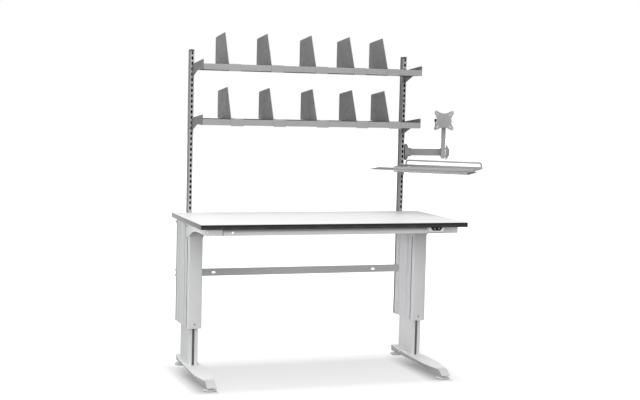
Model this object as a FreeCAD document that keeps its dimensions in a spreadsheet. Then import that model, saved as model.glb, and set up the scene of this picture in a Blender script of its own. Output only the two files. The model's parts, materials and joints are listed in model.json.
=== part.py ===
import FreeCAD, Part
import math
import os
import Sketcher
from FreeCAD import Placement, Rotation, Vector

# Height-adjustable packing table. Lengths are in millimetres and angles in degrees.
# X runs to the right along the worktop, Y to the rear and Z up from the floor.
# Pieces are drawn about the table's middle, and each Placement carries them to the part's own origin.

SIZES = dict(
    # Place of the table's middle, so that the origin is under the middle of the whole part
    table_x=-140.77,
    table_y=-50.5,
    # Worktop: a laminated board with a dark edge band
    worktop_length=1500,
    worktop_depth=700,
    worktop_thickness=25,
    worktop_height=880,
    worktop_corner=6,
    edge_band=2,
    # Lifting columns, which stand on the feet
    upright_inset=24,
    column_width=52,
    column_depth=200,
    column_front=125,
    column_wall=3,
    column_corner=4,
    column_slot=14,
    column_top=600,
    # Sleeves round the columns, with a cover in front and one behind
    sleeve_gap=3,
    sleeve_wall=3,
    sleeve_bottom=262,
    cover_width=80,
    cover_wall=2.5,
    cover_corner=8,
    front_cover_face=100,
    front_cover_depth=72,
    rear_cover_face=345,
    rear_cover_depth=150,
    cover_groove=24,
    cover_groove_width=12,
    cover_groove_depth=4,
    # Lift drive inside each leg
    motor_width=54,
    motor_depth=90,
    motor_height=62,
    motor_radius=24,
    motor_length=50,
    spindle_radius=8,
    spindle_bottom=350,
    spindle_seat=20,
    nut_depth=70,
    nut_height=40,
    pad_length=120,
    pad_height=30,
    pad_low=268,
    pad_high=340,
    running_gap=0.3,
    # Feet
    foot_front=-305,
    foot_rear=445,
    foot_bottom=20,
    foot_height=34,
    foot_width=106,
    waist_width=84,
    heel_width=44,
    toe_width=52,
    toe_face=43,
    toe_drop=4,
    toe_lip=3,
    toe_corner=6,
    foot_slope_end=95,
    foot_waist_y=300,
    foot_widest_y=-90,
    foot_side_curve=700,
    foot_recess=45,
    foot_wall=4,
    foot_core=36,
    wing_front=-190,
    wing_sheet=8,
    arch_front=330,
    arch_rear=395,
    # Levelling glides
    front_glide_y=-262,
    rear_glide_y=415,
    glide_radius=36,
    glide_disc=8,
    glide_cone=7,
    stem_radius=6,
    stem_top=35,
    stem_room=3.5,
    bore_gap=0.3,
    # Support arms and rails under the worktop
    arm_sheet=3,
    arm_front=-303,
    arm_rear=150,
    arm_shallow=37,
    arm_deep=107,
    arm_curve_start=25,
    arm_curve=430,
    rail_depth=30,
    rail_wall=2.5,
    rail_hole=5,
    rail_hole_inset=54,
    rail_hole_drop=20,
    cross_rail_front=105,
    # Control box and its mains inlet
    box_length=260,
    box_depth=90,
    box_height=42,
    box_front=-60,
    inlet_width=28,
    inlet_height=20,
    inlet_depth=18,
    inlet_x=70,
    # Hand switch on the front rail
    switch_inset=55,
    switch_width=90,
    switch_height=31,
    switch_depth=32,
    switch_top_width=74,
    switch_low_width=44,
    switch_panel_height=19,
    switch_panel_depth=10,
    switch_panel_corner=4,
    button_width=17,
    button_height=11,
    button_corner=1.7,
    button_spread=12,
    button_drop=3,
    button_proud=2.5,
    button_well=8.5,
    button_travel_room=3,
    # Rear stretcher
    stretcher_drop=331,
    stretcher_height=40,
    stretcher_depth=20,
    stretcher_front=318,
    stretcher_wall=2,
    stretcher_slot_inset=142,
    stretcher_slot_shift=-24,
    stretcher_slot_length=22,
    stretcher_slot_height=12,
    # Slotted uprights behind the worktop
    upright_width=22,
    upright_depth=48,
    upright_wall=2,
    upright_front=352,
    upright_top=1790,
    slot_width=11,
    slot_height=20,
    slot_pitch=30,
    slot_end=15,
    slot_count=30,
    # Mounts behind the legs, and the cross bolts that hold the uprights in them
    mount_sheet=4,
    bolt_radius=4,
    bolt_head_radius=7,
    bolt_head=10,
    bolt_nut=6,
    bolt_inset=12,
    high_bolt_drop=27,
    middle_bolt_drop=304,
    low_bolt_drop=333,
    # Shelves on end brackets that hook into the uprights
    shelf_length=1280,
    shelf_front=97,
    shelf_rear=345,
    shelf_sheet=2,
    shelf_lip=33,
    shelf_return=12,
    lower_slot_count=13,
    upper_slot_count=3,
    shelf_over_slot=27,
    bracket_sheet=3,
    bracket_rise=25,
    bracket_drop=33,
    bracket_rear_drop=75,
    bracket_level=225,
    bracket_corner=10,
    bracket_hole=3.5,
    bracket_hole_inset=16,
    bracket_hole_rise=8,
    bracket_hole_drop=45,
    hook_height=11,
    hook_reach=7,
    # Shelf dividers
    divider_sheet=2,
    divider_foot=70,
    divider_front_height=177,
    divider_rear_height=155,
    divider_slant=92,
    divider_overhang=50,
    divider_hook=37,
    divider_corner=8,
    slide_gap=0.3,
    upper_divider_1=-500,
    upper_divider_2=-258,
    upper_divider_3=0,
    upper_divider_4=228,
    upper_divider_5=430,
    lower_divider_1=-482,
    lower_divider_2=-240,
    lower_divider_3=13,
    lower_divider_4=250,
    lower_divider_5=449,
    # Monitor arm on the right upright
    arm_hinge_out=47,
    arm_hinge_y=378,
    arm_z=1231,
    arm_length=227,
    arm_height=41,
    arm_width=28,
    arm_pin=6,
    pin_gap=0.05,
    lug_sheet=5,
    lug_width=34,
    plate_sheet=6,
    plate_radius=41,
    pad_sheet=4,
    arm_pad_radius=28,
    post_pad_radius=18,
    post_turn=-24,
    post_offset=42.5,
    post_width=25,
    post_bottom=1195,
    post_height=262,
    # Screen head on the post
    head_z=1424,
    head_width=40,
    head_height=36,
    head_gap=0.15,
    tilt_offset=40,
    tilt_pin=4,
    tilt_lug_width=24,
    tilt_lug_height=24,
    tilt_lug_ahead=9.6,
    ear_sheet=4,
    ear_gap=0.5,
    vesa_sheet=3,
    vesa_offset=56,
    vesa_square=100,
    vesa_hole=2.5,
    vesa_slot_near=42,
    vesa_slot_far=62,
    vesa_tip=7,
    vesa_tip_corner=4.2,
    vesa_waist=34,
    vesa_waist_curve=60,
    pin_reach=44,
    nut_head=7,
    nut_length=7,
    lever_hub=9,
    lever_hub_length=12,
    lever_rod=2.5,
    lever_length=50,
    lever_ball=6.5,
    # Keyboard tray on the right upright
    tray_hinge_out=24,
    tray_hinge_y=311,
    tray_turn=-36,
    tray_left=25,
    tray_right=440,
    tray_behind=20,
    tray_front=280,
    tray_floor=1150,
    tray_sheet=2,
    tray_rim=10,
    tray_corner=8,
    tray_rail_radius=4,
    tray_rail_top=1188,
    tray_rail_bend=12,
    tray_rail_inset=8,
    support_top=1131,
    support_sheet=3,
    support_right=410,
    support_inset=10,
    support_behind=18,
    guide_depth=24,
    guide_groove=12,
    guide_right=230,
    guide_front_inset=6,
    guide_rear=28,
    guide_end=378,
    mouse_sheet=3,
    mouse_low=1137,
    mouse_out=145,
    mouse_in=78,
    mouse_corner=10,
    tray_pin=6,
    tray_hub=16,
    tray_bracket_sheet=5,
    tray_bracket_bottom=1096,
    tray_bracket_height=30,
    tray_lug_height=8,
    # Screws that show on the covers and support arms
    screw_radius=5,
    screw_head=2.5,
    screw_inset=14,
    cheek_screw_drop=28,
    cover_screw_rise=24,
)


class Size:
    """A size of the sheet, or one worked out from several: its number now and its expression."""

    def __init__(self, value, words):
        self.value = value
        self.words = words

    def joined(self, sign, other, value):
        return Size(value, f"({self.words} {sign} {expression(other)})")

    def __add__(self, other):
        return self.joined("+", other, self.value + number(other))

    def __radd__(self, other):
        return self + other

    def __sub__(self, other):
        return self.joined("-", other, self.value - number(other))

    def __rsub__(self, other):
        return -self + other

    def __mul__(self, other):
        return self.joined("*", other, self.value * number(other))

    def __rmul__(self, other):
        return self * other

    def __truediv__(self, other):
        return self.joined("/", other, self.value / number(other))

    def __neg__(self):
        return Size(-self.value, f"(-1 * {self.words})")


def number(size):
    return size.value if isinstance(size, Size) else float(size)


def expression(size):
    return size.words if isinstance(size, Size) else f"({float(size)})"


class Sheet:
    """The driving sizes, each an aliased cell that the objects' expressions read."""

    def __init__(self, document, sizes):
        cells = document.addObject("Spreadsheet::Sheet", "Sizes")
        for row, (alias, value) in enumerate(sizes.items(), start=1):
            cells.set(f"A{row}", alias)
            cells.set(f"B{row}", str(value))
            cells.setAlias(f"B{row}", alias)
            setattr(self, alias, Size(float(value), f"Sizes.{alias}"))


doc = FreeCAD.newDocument("packing_table")
d = Sheet(doc, SIZES)
doc.recompute()
SIDES = {"left": -1, "right": 1}
# A round end falls just short of a half circle, so that its two arcs stay apart.
ROUND_END = 0.98
nodes = []


# Drawing: outlines, primitives and their bindings

def bind(thing, name, size):
    thing.setExpression(name, expression(size))


def place(thing, x, y, z, turn=0, axis=Vector(0, 0, 1)):
    """Binds the place of an object, turned about one axis."""
    thing.Placement = Placement(Vector(), Rotation(axis, number(turn)))
    if isinstance(turn, Size):
        bind(thing, "Placement.Rotation.Angle", turn)
    bind(thing, "Placement.Base.x", x)
    bind(thing, "Placement.Base.y", y)
    bind(thing, "Placement.Base.z", z)
    return thing


def node(label, thing, x=0, y=0, z=0, turn=0):
    """Names a finished piece and carries it from the table's middle to the part's origin."""
    thing.Label = label
    place(thing, d.table_x + x, d.table_y + y, z, turn)
    nodes.append(thing)
    return thing


def box(name, size, low):
    """A block of three sizes with its lowest corner at low."""
    block = doc.addObject("Part::Box", name)
    for side, length in zip(("Length", "Width", "Height"), size):
        bind(block, side, length)
    return place(block, *low)


AXES = {"X": (Vector(0, 1, 0), 90), "Y": (Vector(1, 0, 0), -90), "Z": (Vector(0, 0, 1), 0)}


def rod(name, radius, length, start, along="Z"):
    """A round rod from start, running along the named axis."""
    cylinder = doc.addObject("Part::Cylinder", name)
    bind(cylinder, "Radius", radius)
    bind(cylinder, "Height", length)
    axis, angle = AXES[along]
    return place(cylinder, *start, angle, axis)


def cut(name, base, *tools):
    result = doc.addObject("Part::Cut", name)
    result.Base = base
    result.Tool = tools[0] if len(tools) == 1 else group(name + "_tools", *tools)
    return result


def fuse(name, *pieces):
    result = doc.addObject("Part::MultiFuse", name)
    result.Shapes = list(pieces)
    result.Refine = True
    return result


def common(name, *pieces):
    result = doc.addObject("Part::MultiCommon", name)
    result.Shapes = list(pieces)
    return result


def group(name, *pieces):
    """Separate solids that share one node or one cut."""
    result = doc.addObject("Part::Compound", name)
    result.Links = list(pieces)
    return result


def pin_corner(sketch, edge, start, name, x, y):
    """Ties one end of an edge to its distances from the sketch's own axes."""
    for kind, word, size in (("DistanceX", "across", x), ("DistanceY", "up", y)):
        rule = Sketcher.Constraint(kind, -1, 1, edge, start, number(size))
        sketch.renameConstraint(sketch.addConstraint(rule), f"{word}_{name}")
        bind(sketch, f"Constraints.{word}_{name}", size)


def draw(sketch, outline):
    """Draws a closed outline. A corner is (x, y), or (x, y, radius) where it is rounded."""
    first = sketch.GeometryCount
    spots = [Vector(number(corner[0]), number(corner[1]), 0) for corner in outline]
    count = len(outline)
    for i, spot in enumerate(spots):
        sketch.addGeometry(Part.LineSegment(spot, spots[(i + 1) % count]))
    for i in range(count):
        after = first + (i + 1) % count
        sketch.addConstraint(Sketcher.Constraint("Coincident", first + i, 2, after, 1))
    for i, corner in enumerate(outline):
        pin_corner(sketch, first + i, 1, f"{first + i}", corner[0], corner[1])
    for i, corner in enumerate(outline):
        if len(corner) == 3:
            arc = sketch.GeometryCount
            sketch.fillet(first + i, 1, number(corner[2]), True, True)
            rule = Sketcher.Constraint("Radius", arc, number(corner[2]))
            sketch.renameConstraint(sketch.addConstraint(rule), f"round_{arc}")
            bind(sketch, f"Constraints.round_{arc}", corner[2])


def circle(sketch, x, y, radius):
    """Draws a circle whose middle is tied to the sketch's own axes."""
    edge = sketch.GeometryCount
    middle = Vector(number(x), number(y), 0)
    sketch.addGeometry(Part.Circle(middle, Vector(0, 0, 1), number(radius)))
    pin_corner(sketch, edge, 3, f"{edge}", x, y)
    rule = Sketcher.Constraint("Radius", edge, number(radius))
    sketch.renameConstraint(sketch.addConstraint(rule), f"round_{edge}")
    bind(sketch, f"Constraints.round_{edge}", radius)


def stadium(sketch, x, y, half_width, half_length):
    """Draws an upright slot with round ends about the spot (x, y)."""
    first = sketch.GeometryCount
    reach = half_length - half_width
    radius = number(half_width)
    middle = Vector(number(x), number(y), 0)
    rise = Vector(0, number(reach), 0)
    aside = Vector(radius, 0, 0)
    for centre, start in ((middle + rise, 0), (middle - rise, math.pi)):
        whole = Part.Circle(centre, Vector(0, 0, 1), radius)
        sketch.addGeometry(Part.ArcOfCircle(whole, start, start + math.pi))
    sketch.addGeometry(Part.LineSegment(middle + rise - aside, middle - rise - aside))
    sketch.addGeometry(Part.LineSegment(middle - rise + aside, middle + rise + aside))
    top, low, left, right = range(first, first + 4)
    for a, a_end, b, b_end in ((top, 2, left, 1), (left, 2, low, 1), (low, 2, right, 1), (right, 2, top, 1)):
        sketch.addConstraint(Sketcher.Constraint("Tangent", a, a_end, b, b_end))
    pin_corner(sketch, top, 3, f"{top}", x, y + reach)
    pin_corner(sketch, low, 3, f"{low}", x, y - reach)
    rule = Sketcher.Constraint("Radius", top, radius)
    sketch.renameConstraint(sketch.addConstraint(rule), f"round_{top}")
    bind(sketch, f"Constraints.round_{top}", half_width)


def rectangle(x0, y0, x1, y1, *corner):
    return [(x0, y0, *corner), (x1, y0, *corner), (x1, y1, *corner), (x0, y1, *corner)]


def sketch_on(body, name, plane, offset=0):
    """A sketch on one of the body's own planes, moved along that plane's normal."""
    sketch = body.newObject("Sketcher::SketchObject", name)
    planes = {feature.Role: feature for feature in body.Origin.OriginFeatures}
    sketch.AttachmentSupport = [(planes[plane + "_Plane"], "")]
    sketch.MapMode = "FlatFace"
    bind(sketch, "AttachmentOffset.Base.z", offset)
    return sketch


def profile(name, plane, outlines, start, length):
    """A body padded from outlines. The pad runs along +Z on XY, +X on YZ and -Y on XZ."""
    body = doc.addObject("PartDesign::Body", name)
    sketch = sketch_on(body, name + "_sketch", plane, start)
    for outline in outlines:
        draw(sketch, outline)
    pad = body.newObject("PartDesign::Pad", name + "_pad")
    pad.Profile = sketch
    bind(pad, "Length", length)
    return body


def pocket(body, name, plane, outlines, start, depth):
    """A pocket in a body. It runs against the way that a pad of the same plane would run."""
    sketch = sketch_on(body, name + "_sketch", plane, start)
    for outline in outlines:
        draw(sketch, outline)
    hole = body.newObject("PartDesign::Pocket", name)
    hole.Profile = sketch
    bind(hole, "Length", depth)
    return hole


# Heights and places that several pieces share
underside = d.worktop_height - d.worktop_thickness
leg_top = underside - d.arm_sheet
foot_top = d.foot_bottom + d.foot_height
column_rear = d.column_front + d.column_depth
sleeve_half = d.column_width / 2 + d.sleeve_gap + d.sleeve_wall
sleeve_front = d.column_front - d.sleeve_gap - d.sleeve_wall
sleeve_rear = column_rear + d.sleeve_gap + d.sleeve_wall
sleeve_length = leg_top - d.sleeve_bottom
spindle_y = d.column_front + d.column_depth / 2
cover_half = d.cover_width / 2
upright_x = d.shelf_length / 2 + d.bracket_sheet
upright_rear = d.upright_front + d.upright_depth
leg_x = upright_x + d.upright_inset
rail_half = leg_x - cover_half - d.arm_sheet
bolt_heights = {
    "high": leg_top - d.high_bolt_drop,
    "middle": leg_top - d.middle_bolt_drop,
    "low": leg_top - d.low_bolt_drop,
}
top_slot = d.upright_top - d.slot_end
shelf_tops = {
    "lower": top_slot - d.slot_pitch * d.lower_slot_count + d.shelf_over_slot,
    "upper": top_slot - d.slot_pitch * d.upper_slot_count + d.shelf_over_slot,
}
arm_hinge_x = upright_x + d.arm_hinge_out
tray_hinge_x = upright_x + d.tray_hinge_out


# Worktop: the board inside its edge band
def worktop():
    half_length = d.worktop_length / 2
    half_depth = d.worktop_depth / 2
    inner_length = half_length - d.edge_band
    inner_depth = half_depth - d.edge_band
    inner_corner = d.worktop_corner - d.edge_band
    outer = rectangle(-half_length, -half_depth, half_length, half_depth, d.worktop_corner)
    inner = rectangle(-inner_length, -inner_depth, inner_length, inner_depth, inner_corner)
    board = profile("worktop_board", "XY", [inner], underside, d.worktop_thickness)
    band = profile("worktop_edge_band", "XY", [outer, inner], underside, d.worktop_thickness)
    node("worktop_board", board)
    node("worktop_edge_band", band)


# Foot: a low beam, bowed in plan, with a steep face at its toe and an open rear end.
# Its wings thin out towards the rear, and it is arched in front of the heel.
def foot(side):
    name = side + "_foot"
    half = d.foot_width / 2
    waist_half = d.waist_width / 2
    heel_half = d.heel_width / 2
    toe_half = d.toe_width / 2
    curve = d.foot_side_curve
    crease = d.foot_front + d.toe_face
    slope_start = d.column_front - d.foot_slope_end
    side_view = [
        (d.foot_front, d.foot_bottom),
        (d.foot_rear, d.foot_bottom),
        (d.foot_rear, foot_top),
        (slope_start, foot_top),
        (crease, foot_top - d.toe_drop),
        (d.foot_front, d.foot_bottom + d.toe_lip),
    ]
    plan = [
        (-heel_half, d.foot_rear),
        (-waist_half, d.foot_waist_y, curve),
        (-half, d.foot_widest_y, curve),
        (-toe_half, crease),
        (-toe_half, d.foot_front, d.toe_corner),
        (toe_half, d.foot_front, d.toe_corner),
        (toe_half, crease),
        (half, d.foot_widest_y, curve),
        (waist_half, d.foot_waist_y, curve),
        (heel_half, d.foot_rear),
    ]
    beam = profile(name + "_side", "YZ", [side_view], -half, d.foot_width)
    taper = profile(name + "_plan", "XY", [plan], d.foot_bottom, d.foot_height)
    blank = common(name + "_blank", beam, taper)
    wall = d.foot_wall
    core_half = d.foot_core / 2
    arch_top = foot_top - d.wing_sheet
    wing_view = [
        (d.wing_front, d.foot_bottom),
        (d.arch_front, arch_top),
        (d.arch_rear, arch_top),
        (d.arch_rear, d.foot_bottom),
    ]
    under_left = profile(name + "_under_left", "YZ", [wing_view], -half, half - core_half)
    under_right = profile(name + "_under_right", "YZ", [wing_view], core_half, half - core_half)
    winged = cut(name + "_winged", blank, under_left, under_right)
    arch = box(
        name + "_arch",
        (d.foot_width, d.arch_rear - d.arch_front, arch_top - d.foot_bottom),
        (-half, d.arch_front, d.foot_bottom),
    )
    arched = cut(name + "_arched", winged, arch)
    recess = box(
        name + "_recess",
        (d.heel_width - 2 * wall, d.foot_recess, d.foot_height - 2 * wall),
        (wall - heel_half, d.foot_rear - d.foot_recess, d.foot_bottom + wall),
    )
    bores = [
        rod(
            f"{name}_bore_{i}",
            d.stem_radius + d.bore_gap,
            d.stem_top + d.stem_room - d.foot_bottom,
            (0, y, d.foot_bottom),
        )
        for i, y in enumerate((d.front_glide_y, d.rear_glide_y))
    ]
    hollow_front = d.front_glide_y + d.glide_radius
    hollow_half = core_half - wall
    hollow = box(
        name + "_hollow",
        (2 * hollow_half, d.arch_front - hollow_front - wall, d.foot_height / 2),
        (-hollow_half, hollow_front, d.foot_bottom),
    )
    node(name, cut(name, arched, recess, hollow, *bores), SIDES[side] * leg_x)


# Glide: a round floor disc with a cone and a threaded stem, turned in one piece
def glide(side, end, y):
    name = f"{side}_{end}_glide"
    body = doc.addObject("PartDesign::Body", name)
    sketch = sketch_on(body, name + "_sketch", "XZ")
    outline = [
        (0, 0),
        (d.glide_radius, 0),
        (d.glide_radius, d.glide_disc, d.glide_disc / 4),
        (d.stem_radius * 2, d.glide_disc + d.glide_cone),
        (d.stem_radius, d.glide_disc + d.glide_cone),
        (d.stem_radius, d.stem_top),
        (0, d.stem_top),
    ]
    draw(sketch, outline)
    turned = body.newObject("PartDesign::Revolution", name + "_turned")
    turned.Profile = sketch
    turned.ReferenceAxis = (sketch, ["V_Axis"])
    turned.Angle = 360
    node(name, body, SIDES[side] * leg_x, y)


# Column: a C section, open in a narrow slot down its front
def column(side):
    name = side + "_column"
    half = d.column_width / 2
    wall = d.column_wall
    slot = d.column_slot / 2
    front = d.column_front
    corner = d.column_corner
    section = [
        (-slot, front),
        (-half, front, corner),
        (-half, column_rear, corner),
        (half, column_rear, corner),
        (half, front, corner),
        (slot, front),
        (slot, front + wall),
        (half - wall, front + wall),
        (half - wall, column_rear - wall),
        (wall - half, column_rear - wall),
        (wall - half, front + wall),
        (-slot, front + wall),
    ]
    body = profile(name, "XY", [section], foot_top, d.column_top - foot_top)
    node(name, body, SIDES[side] * leg_x)


# Spindle nut: a block fixed between the column's side walls, near its top
def spindle_nut(side):
    name = side + "_spindle_nut"
    half = d.column_width / 2 - d.column_wall
    low = d.column_top - d.nut_height
    corner = (-half, spindle_y - d.nut_depth / 2, low)
    block = box(name + "_block", (2 * half, d.nut_depth, d.nut_height), corner)
    bore = rod(name + "_bore", d.spindle_radius + d.running_gap, d.nut_height, (0, spindle_y, low))
    node(name, cut(name, block, bore), SIDES[side] * leg_x)


# Spindle: a lead screw that hangs from the drive and runs through the nut
def spindle(side):
    name = side + "_spindle"
    length = leg_top - d.motor_height + d.spindle_seat - d.running_gap - d.spindle_bottom
    screw = rod(name, d.spindle_radius, length, (0, 0, 0))
    node(name, screw, SIDES[side] * leg_x, spindle_y, d.spindle_bottom)


# Lift drive: a gearbox block with its motor lying in front and a seat for the spindle's end
def lift_drive(side):
    name = side + "_lift_drive"
    half = d.motor_width / 2
    low = leg_top - d.motor_height
    front = spindle_y - d.motor_depth / 2
    gearbox = box(name + "_gearbox", (d.motor_width, d.motor_depth, d.motor_height), (-half, front, low))
    start = (0, front - d.motor_length, low + d.motor_height / 2)
    motor = rod(name + "_motor", d.motor_radius, d.motor_length, start, "Y")
    seat = rod(name + "_seat", d.spindle_radius + d.pin_gap, d.spindle_seat, (0, spindle_y, low))
    return cut(name, fuse(name + "_case", gearbox, motor), seat)


# Sleeve: the tube that slides on the column
def sleeve(side):
    name = side + "_sleeve"
    wall = d.sleeve_wall
    outer = rectangle(-sleeve_half, sleeve_front, sleeve_half, sleeve_rear, d.column_corner)
    inner = rectangle(wall - sleeve_half, sleeve_front + wall, sleeve_half - wall, sleeve_rear - wall)
    return profile(name, "XY", [outer, inner], d.sleeve_bottom, sleeve_length)


# Guide pads: plastic strips on the sleeve's inner sides that bear on the column
def guide_pads(side):
    name = side + "_guide_pads"
    thick = d.sleeve_gap - d.running_gap
    inside = d.column_width / 2 + d.sleeve_gap
    pads = []
    for level, low in (("low", d.pad_low), ("high", d.pad_high)):
        for word, x in (("outer", -inside), ("inner", inside - thick)):
            corner = (x, spindle_y - d.pad_length / 2, low)
            pads.append(box(f"{name}_{level}_{word}", (thick, d.pad_length, d.pad_height), corner))
    return group(name, *pads)


# Leg covers: extruded channels in front of and behind the sleeve, each with a groove down both sides
def cover(name, face, inward, web, depth):
    """A cover from its outer face, running inward past the web that lies on the sleeve."""
    wall = d.cover_wall
    edge = face + inward * depth
    near = face + inward * d.cover_groove
    far = near + inward * d.cover_groove_width
    deep = cover_half - d.cover_groove_depth
    inner_half = cover_half - wall
    outside = [
        (cover_half, edge),
        (cover_half, far),
        (deep, far),
        (deep, near),
        (cover_half, near),
        (cover_half, face, d.cover_corner),
    ]
    inside = [
        (inner_half, web),
        (inner_half, near - inward * wall),
        (deep - wall, near - inward * wall),
        (deep - wall, far + inward * wall),
        (inner_half, far + inward * wall),
        (inner_half, edge),
    ]
    left_outside = [(-corner[0], *corner[1:]) for corner in outside]
    left_inside = [(-corner[0], *corner[1:]) for corner in inside]
    section = left_outside + outside[::-1] + inside[::-1] + left_inside
    rounding = d.cover_corner - wall
    hollow = [
        (-inner_half, web - inward * wall),
        (-inner_half, face + inward * wall, rounding),
        (inner_half, face + inward * wall, rounding),
        (inner_half, web - inward * wall),
    ]
    return profile(name, "XY", [section, hollow], d.sleeve_bottom, sleeve_length)


def front_cover(side):
    return cover(side + "_front_cover", d.front_cover_face, 1, sleeve_front, d.front_cover_depth)


def rear_cover(side):
    return cover(side + "_rear_cover", d.rear_cover_face, -1, sleeve_rear, d.rear_cover_depth)


# Support arm: a folded channel over the leg, its sides drawn up in a curve towards the front
def support_arm(side):
    name = side + "_support_arm"
    sheet = d.arm_sheet
    half = cover_half + sheet
    low = underside - d.arm_deep
    shallow = underside - d.arm_shallow
    cheek = [
        (d.arm_rear, underside),
        (d.arm_rear, low, sheet),
        (d.arm_rear - d.screw_inset, low, sheet),
        (d.arm_curve_start, shallow, d.arm_curve),
        (d.arm_front, shallow),
        (d.arm_front, underside),
    ]
    outer = profile(name + "_outer", "YZ", [cheek], -half, sheet)
    inner = profile(name + "_inner", "YZ", [cheek], cover_half, sheet)
    roof = box(
        name + "_roof",
        (2 * half, d.rear_cover_face - d.arm_front, sheet),
        (-half, d.arm_front, leg_top),
    )
    front = box(name + "_front", (2 * half, sheet, d.arm_shallow), (-half, d.arm_front, shallow))
    node(name, fuse(name, outer, inner, roof, front), SIDES[side] * leg_x)


# Rails between the support arms: channels folded from sheet, open to the rear
def worktop_rail(name, front):
    wall = d.rail_wall
    low = underside - d.arm_shallow
    rear = front + d.rail_depth
    section = [
        (rear, underside),
        (front, underside, wall),
        (front, low, wall),
        (rear, low),
        (rear, low + wall),
        (front + wall, low + wall),
        (front + wall, underside - wall),
        (rear, underside - wall),
    ]
    return profile(name, "YZ", [section], -rail_half, 2 * rail_half)


# Control box under the worktop, with a mains inlet in its rear face
def control_box():
    name = "control_box"
    half = d.box_length / 2
    rear = d.box_front + d.box_depth
    low = underside - d.box_height
    case = profile(
        name + "_case", "XY", [rectangle(-half, d.box_front, half, rear, d.cover_corner)], low, d.box_height
    )
    inlet = box(
        name + "_inlet",
        (d.inlet_width, d.inlet_depth, d.inlet_height),
        (d.inlet_x, rear - d.inlet_depth, low + (d.box_height - d.inlet_height) / 2),
    )
    node(name, cut(name, case, inlet))


# Hand switch: a housing on the front rail, a dark panel tapered downwards, and two buttons
def hand_switch():
    x_place = rail_half - d.switch_inset
    half = d.switch_width / 2
    low = underside - d.switch_height
    front = d.arm_front - d.switch_depth
    panel_low = underside - d.switch_panel_height
    top_half = d.switch_top_width / 2
    low_half = d.switch_low_width / 2
    corner = d.switch_panel_corner
    slope = [
        (-top_half, underside),
        (-low_half, panel_low, corner),
        (low_half, panel_low, corner),
        (top_half, underside),
    ]
    blank = profile(
        "switch_blank", "YZ",
        [[
            (d.arm_front, underside),
            (front, underside),
            (front, low, d.cover_corner),
            (d.arm_front, low),
        ]],
        -half, d.switch_width,
    )
    seat = profile("switch_seat", "XZ", [slope], -(front + d.switch_panel_depth), d.switch_panel_depth)
    node("hand_switch_housing", cut("hand_switch_housing", blank, seat), x_place)
    plate = profile("switch_plate", "XZ", [slope], -(front + d.switch_panel_depth), d.switch_panel_depth)
    button_low = underside - d.button_drop - d.button_height
    wells = []
    for word, x in (("up", -d.button_spread), ("down", d.button_spread)):
        well_half = d.button_width / 2 + d.running_gap
        well_low = button_low - d.running_gap
        well_high = button_low + d.button_height + d.running_gap
        corner = d.button_corner + d.running_gap
        outline = rectangle(x - well_half, well_low, x + well_half, well_high, corner)
        start = -(front + d.button_well)
        wells.append(profile(f"switch_well_{word}", "XZ", [outline], start, d.button_well))
    node("switch_panel", cut("switch_panel", plate, *wells), x_place)
    for word, x in (("up", -d.button_spread), ("down", d.button_spread)):
        key_half = d.button_width / 2
        button_top = button_low + d.button_height
        outline = rectangle(x - key_half, button_low, x + key_half, button_top, d.button_corner)
        depth = d.button_well - d.button_travel_room
        key = profile(f"{word}_button", "XZ", [outline], -(front + depth), depth + d.button_proud)
        node(f"{word}_button", key, x_place)


# Rear stretcher: a channel between the legs with end flanges and two see-through slots
def rear_stretcher():
    name = "rear_stretcher"
    wall = d.stretcher_wall
    front = d.stretcher_front
    rear = front + d.stretcher_depth
    low = leg_top - d.stretcher_drop
    high = low + d.stretcher_height
    half = leg_x - cover_half
    section = [
        (rear, high),
        (front, high, wall),
        (front, low, wall),
        (rear, low),
        (rear, low + wall),
        (front + wall, low + wall),
        (front + wall, high - wall),
        (rear, high - wall),
    ]
    channel = profile(name + "_channel", "YZ", [section], -half, 2 * half)
    flange = (wall, d.stretcher_depth, d.stretcher_height)
    left_flange = box(name + "_left_flange", flange, (-half, front, low))
    right_flange = box(name + "_right_flange", flange, (half - wall, front, low))
    bar = fuse(name + "_bar", channel, left_flange, right_flange)
    slots = []
    for side, sign in SIDES.items():
        x = sign * (half - d.stretcher_slot_inset) + d.stretcher_slot_shift
        reach = d.stretcher_slot_length / 2
        rise = d.stretcher_slot_height / 2
        middle = low + d.stretcher_height / 2
        outline = rectangle(x - reach, middle - rise, x + reach, middle + rise, rise * ROUND_END)
        slots.append(profile(f"{name}_{side}_slot", "XZ", [outline], -rear, d.stretcher_depth))
    node(name, cut(name, bar, *slots))


# Upright: a rectangular tube with one column of slots up its front wall
def upright(side):
    name = side + "_upright"
    half = d.upright_width / 2
    wall = d.upright_wall
    front = d.upright_front
    outer = rectangle(-half, front, half, upright_rear, wall)
    inner = rectangle(wall - half, front + wall, half - wall, upright_rear - wall)
    length = d.upright_top - d.sleeve_bottom
    body = profile(name + "_tube", "XY", [outer, inner], d.sleeve_bottom, length)
    slot = sketch_on(body, name + "_slot_sketch", "XZ", -front)
    rise = d.slot_pitch * (d.slot_count - 1)
    stadium(slot, Size(0.0, "0"), top_slot - rise, d.slot_width / 2, d.slot_height / 2)
    hole = body.newObject("PartDesign::Pocket", name + "_slot")
    hole.Profile = slot
    bind(hole, "Length", wall * 2)
    rows = body.newObject("PartDesign::LinearPattern", name + "_rows")
    rows.Originals = [hole]
    planes = {feature.Role: feature for feature in body.Origin.OriginFeatures}
    rows.Direction = (planes["Z_Axis"], [""])
    bind(rows, "Length", rise)
    bind(rows, "Occurrences", d.slot_count)
    body.Tip = rows
    bores = bolt_rods(name, d.bolt_radius, -half, d.upright_width)
    node(name, cut(name, body, *bores), SIDES[side] * upright_x)


def bolt_rods(name, radius, start, length):
    """A rod on each cross bolt's axis, from start along X."""
    y = upright_rear - d.bolt_inset
    heights = bolt_heights.items()
    return [rod(f"{name}_{word}_rod", radius, length, (start, y, z), "X") for word, z in heights]


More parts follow.
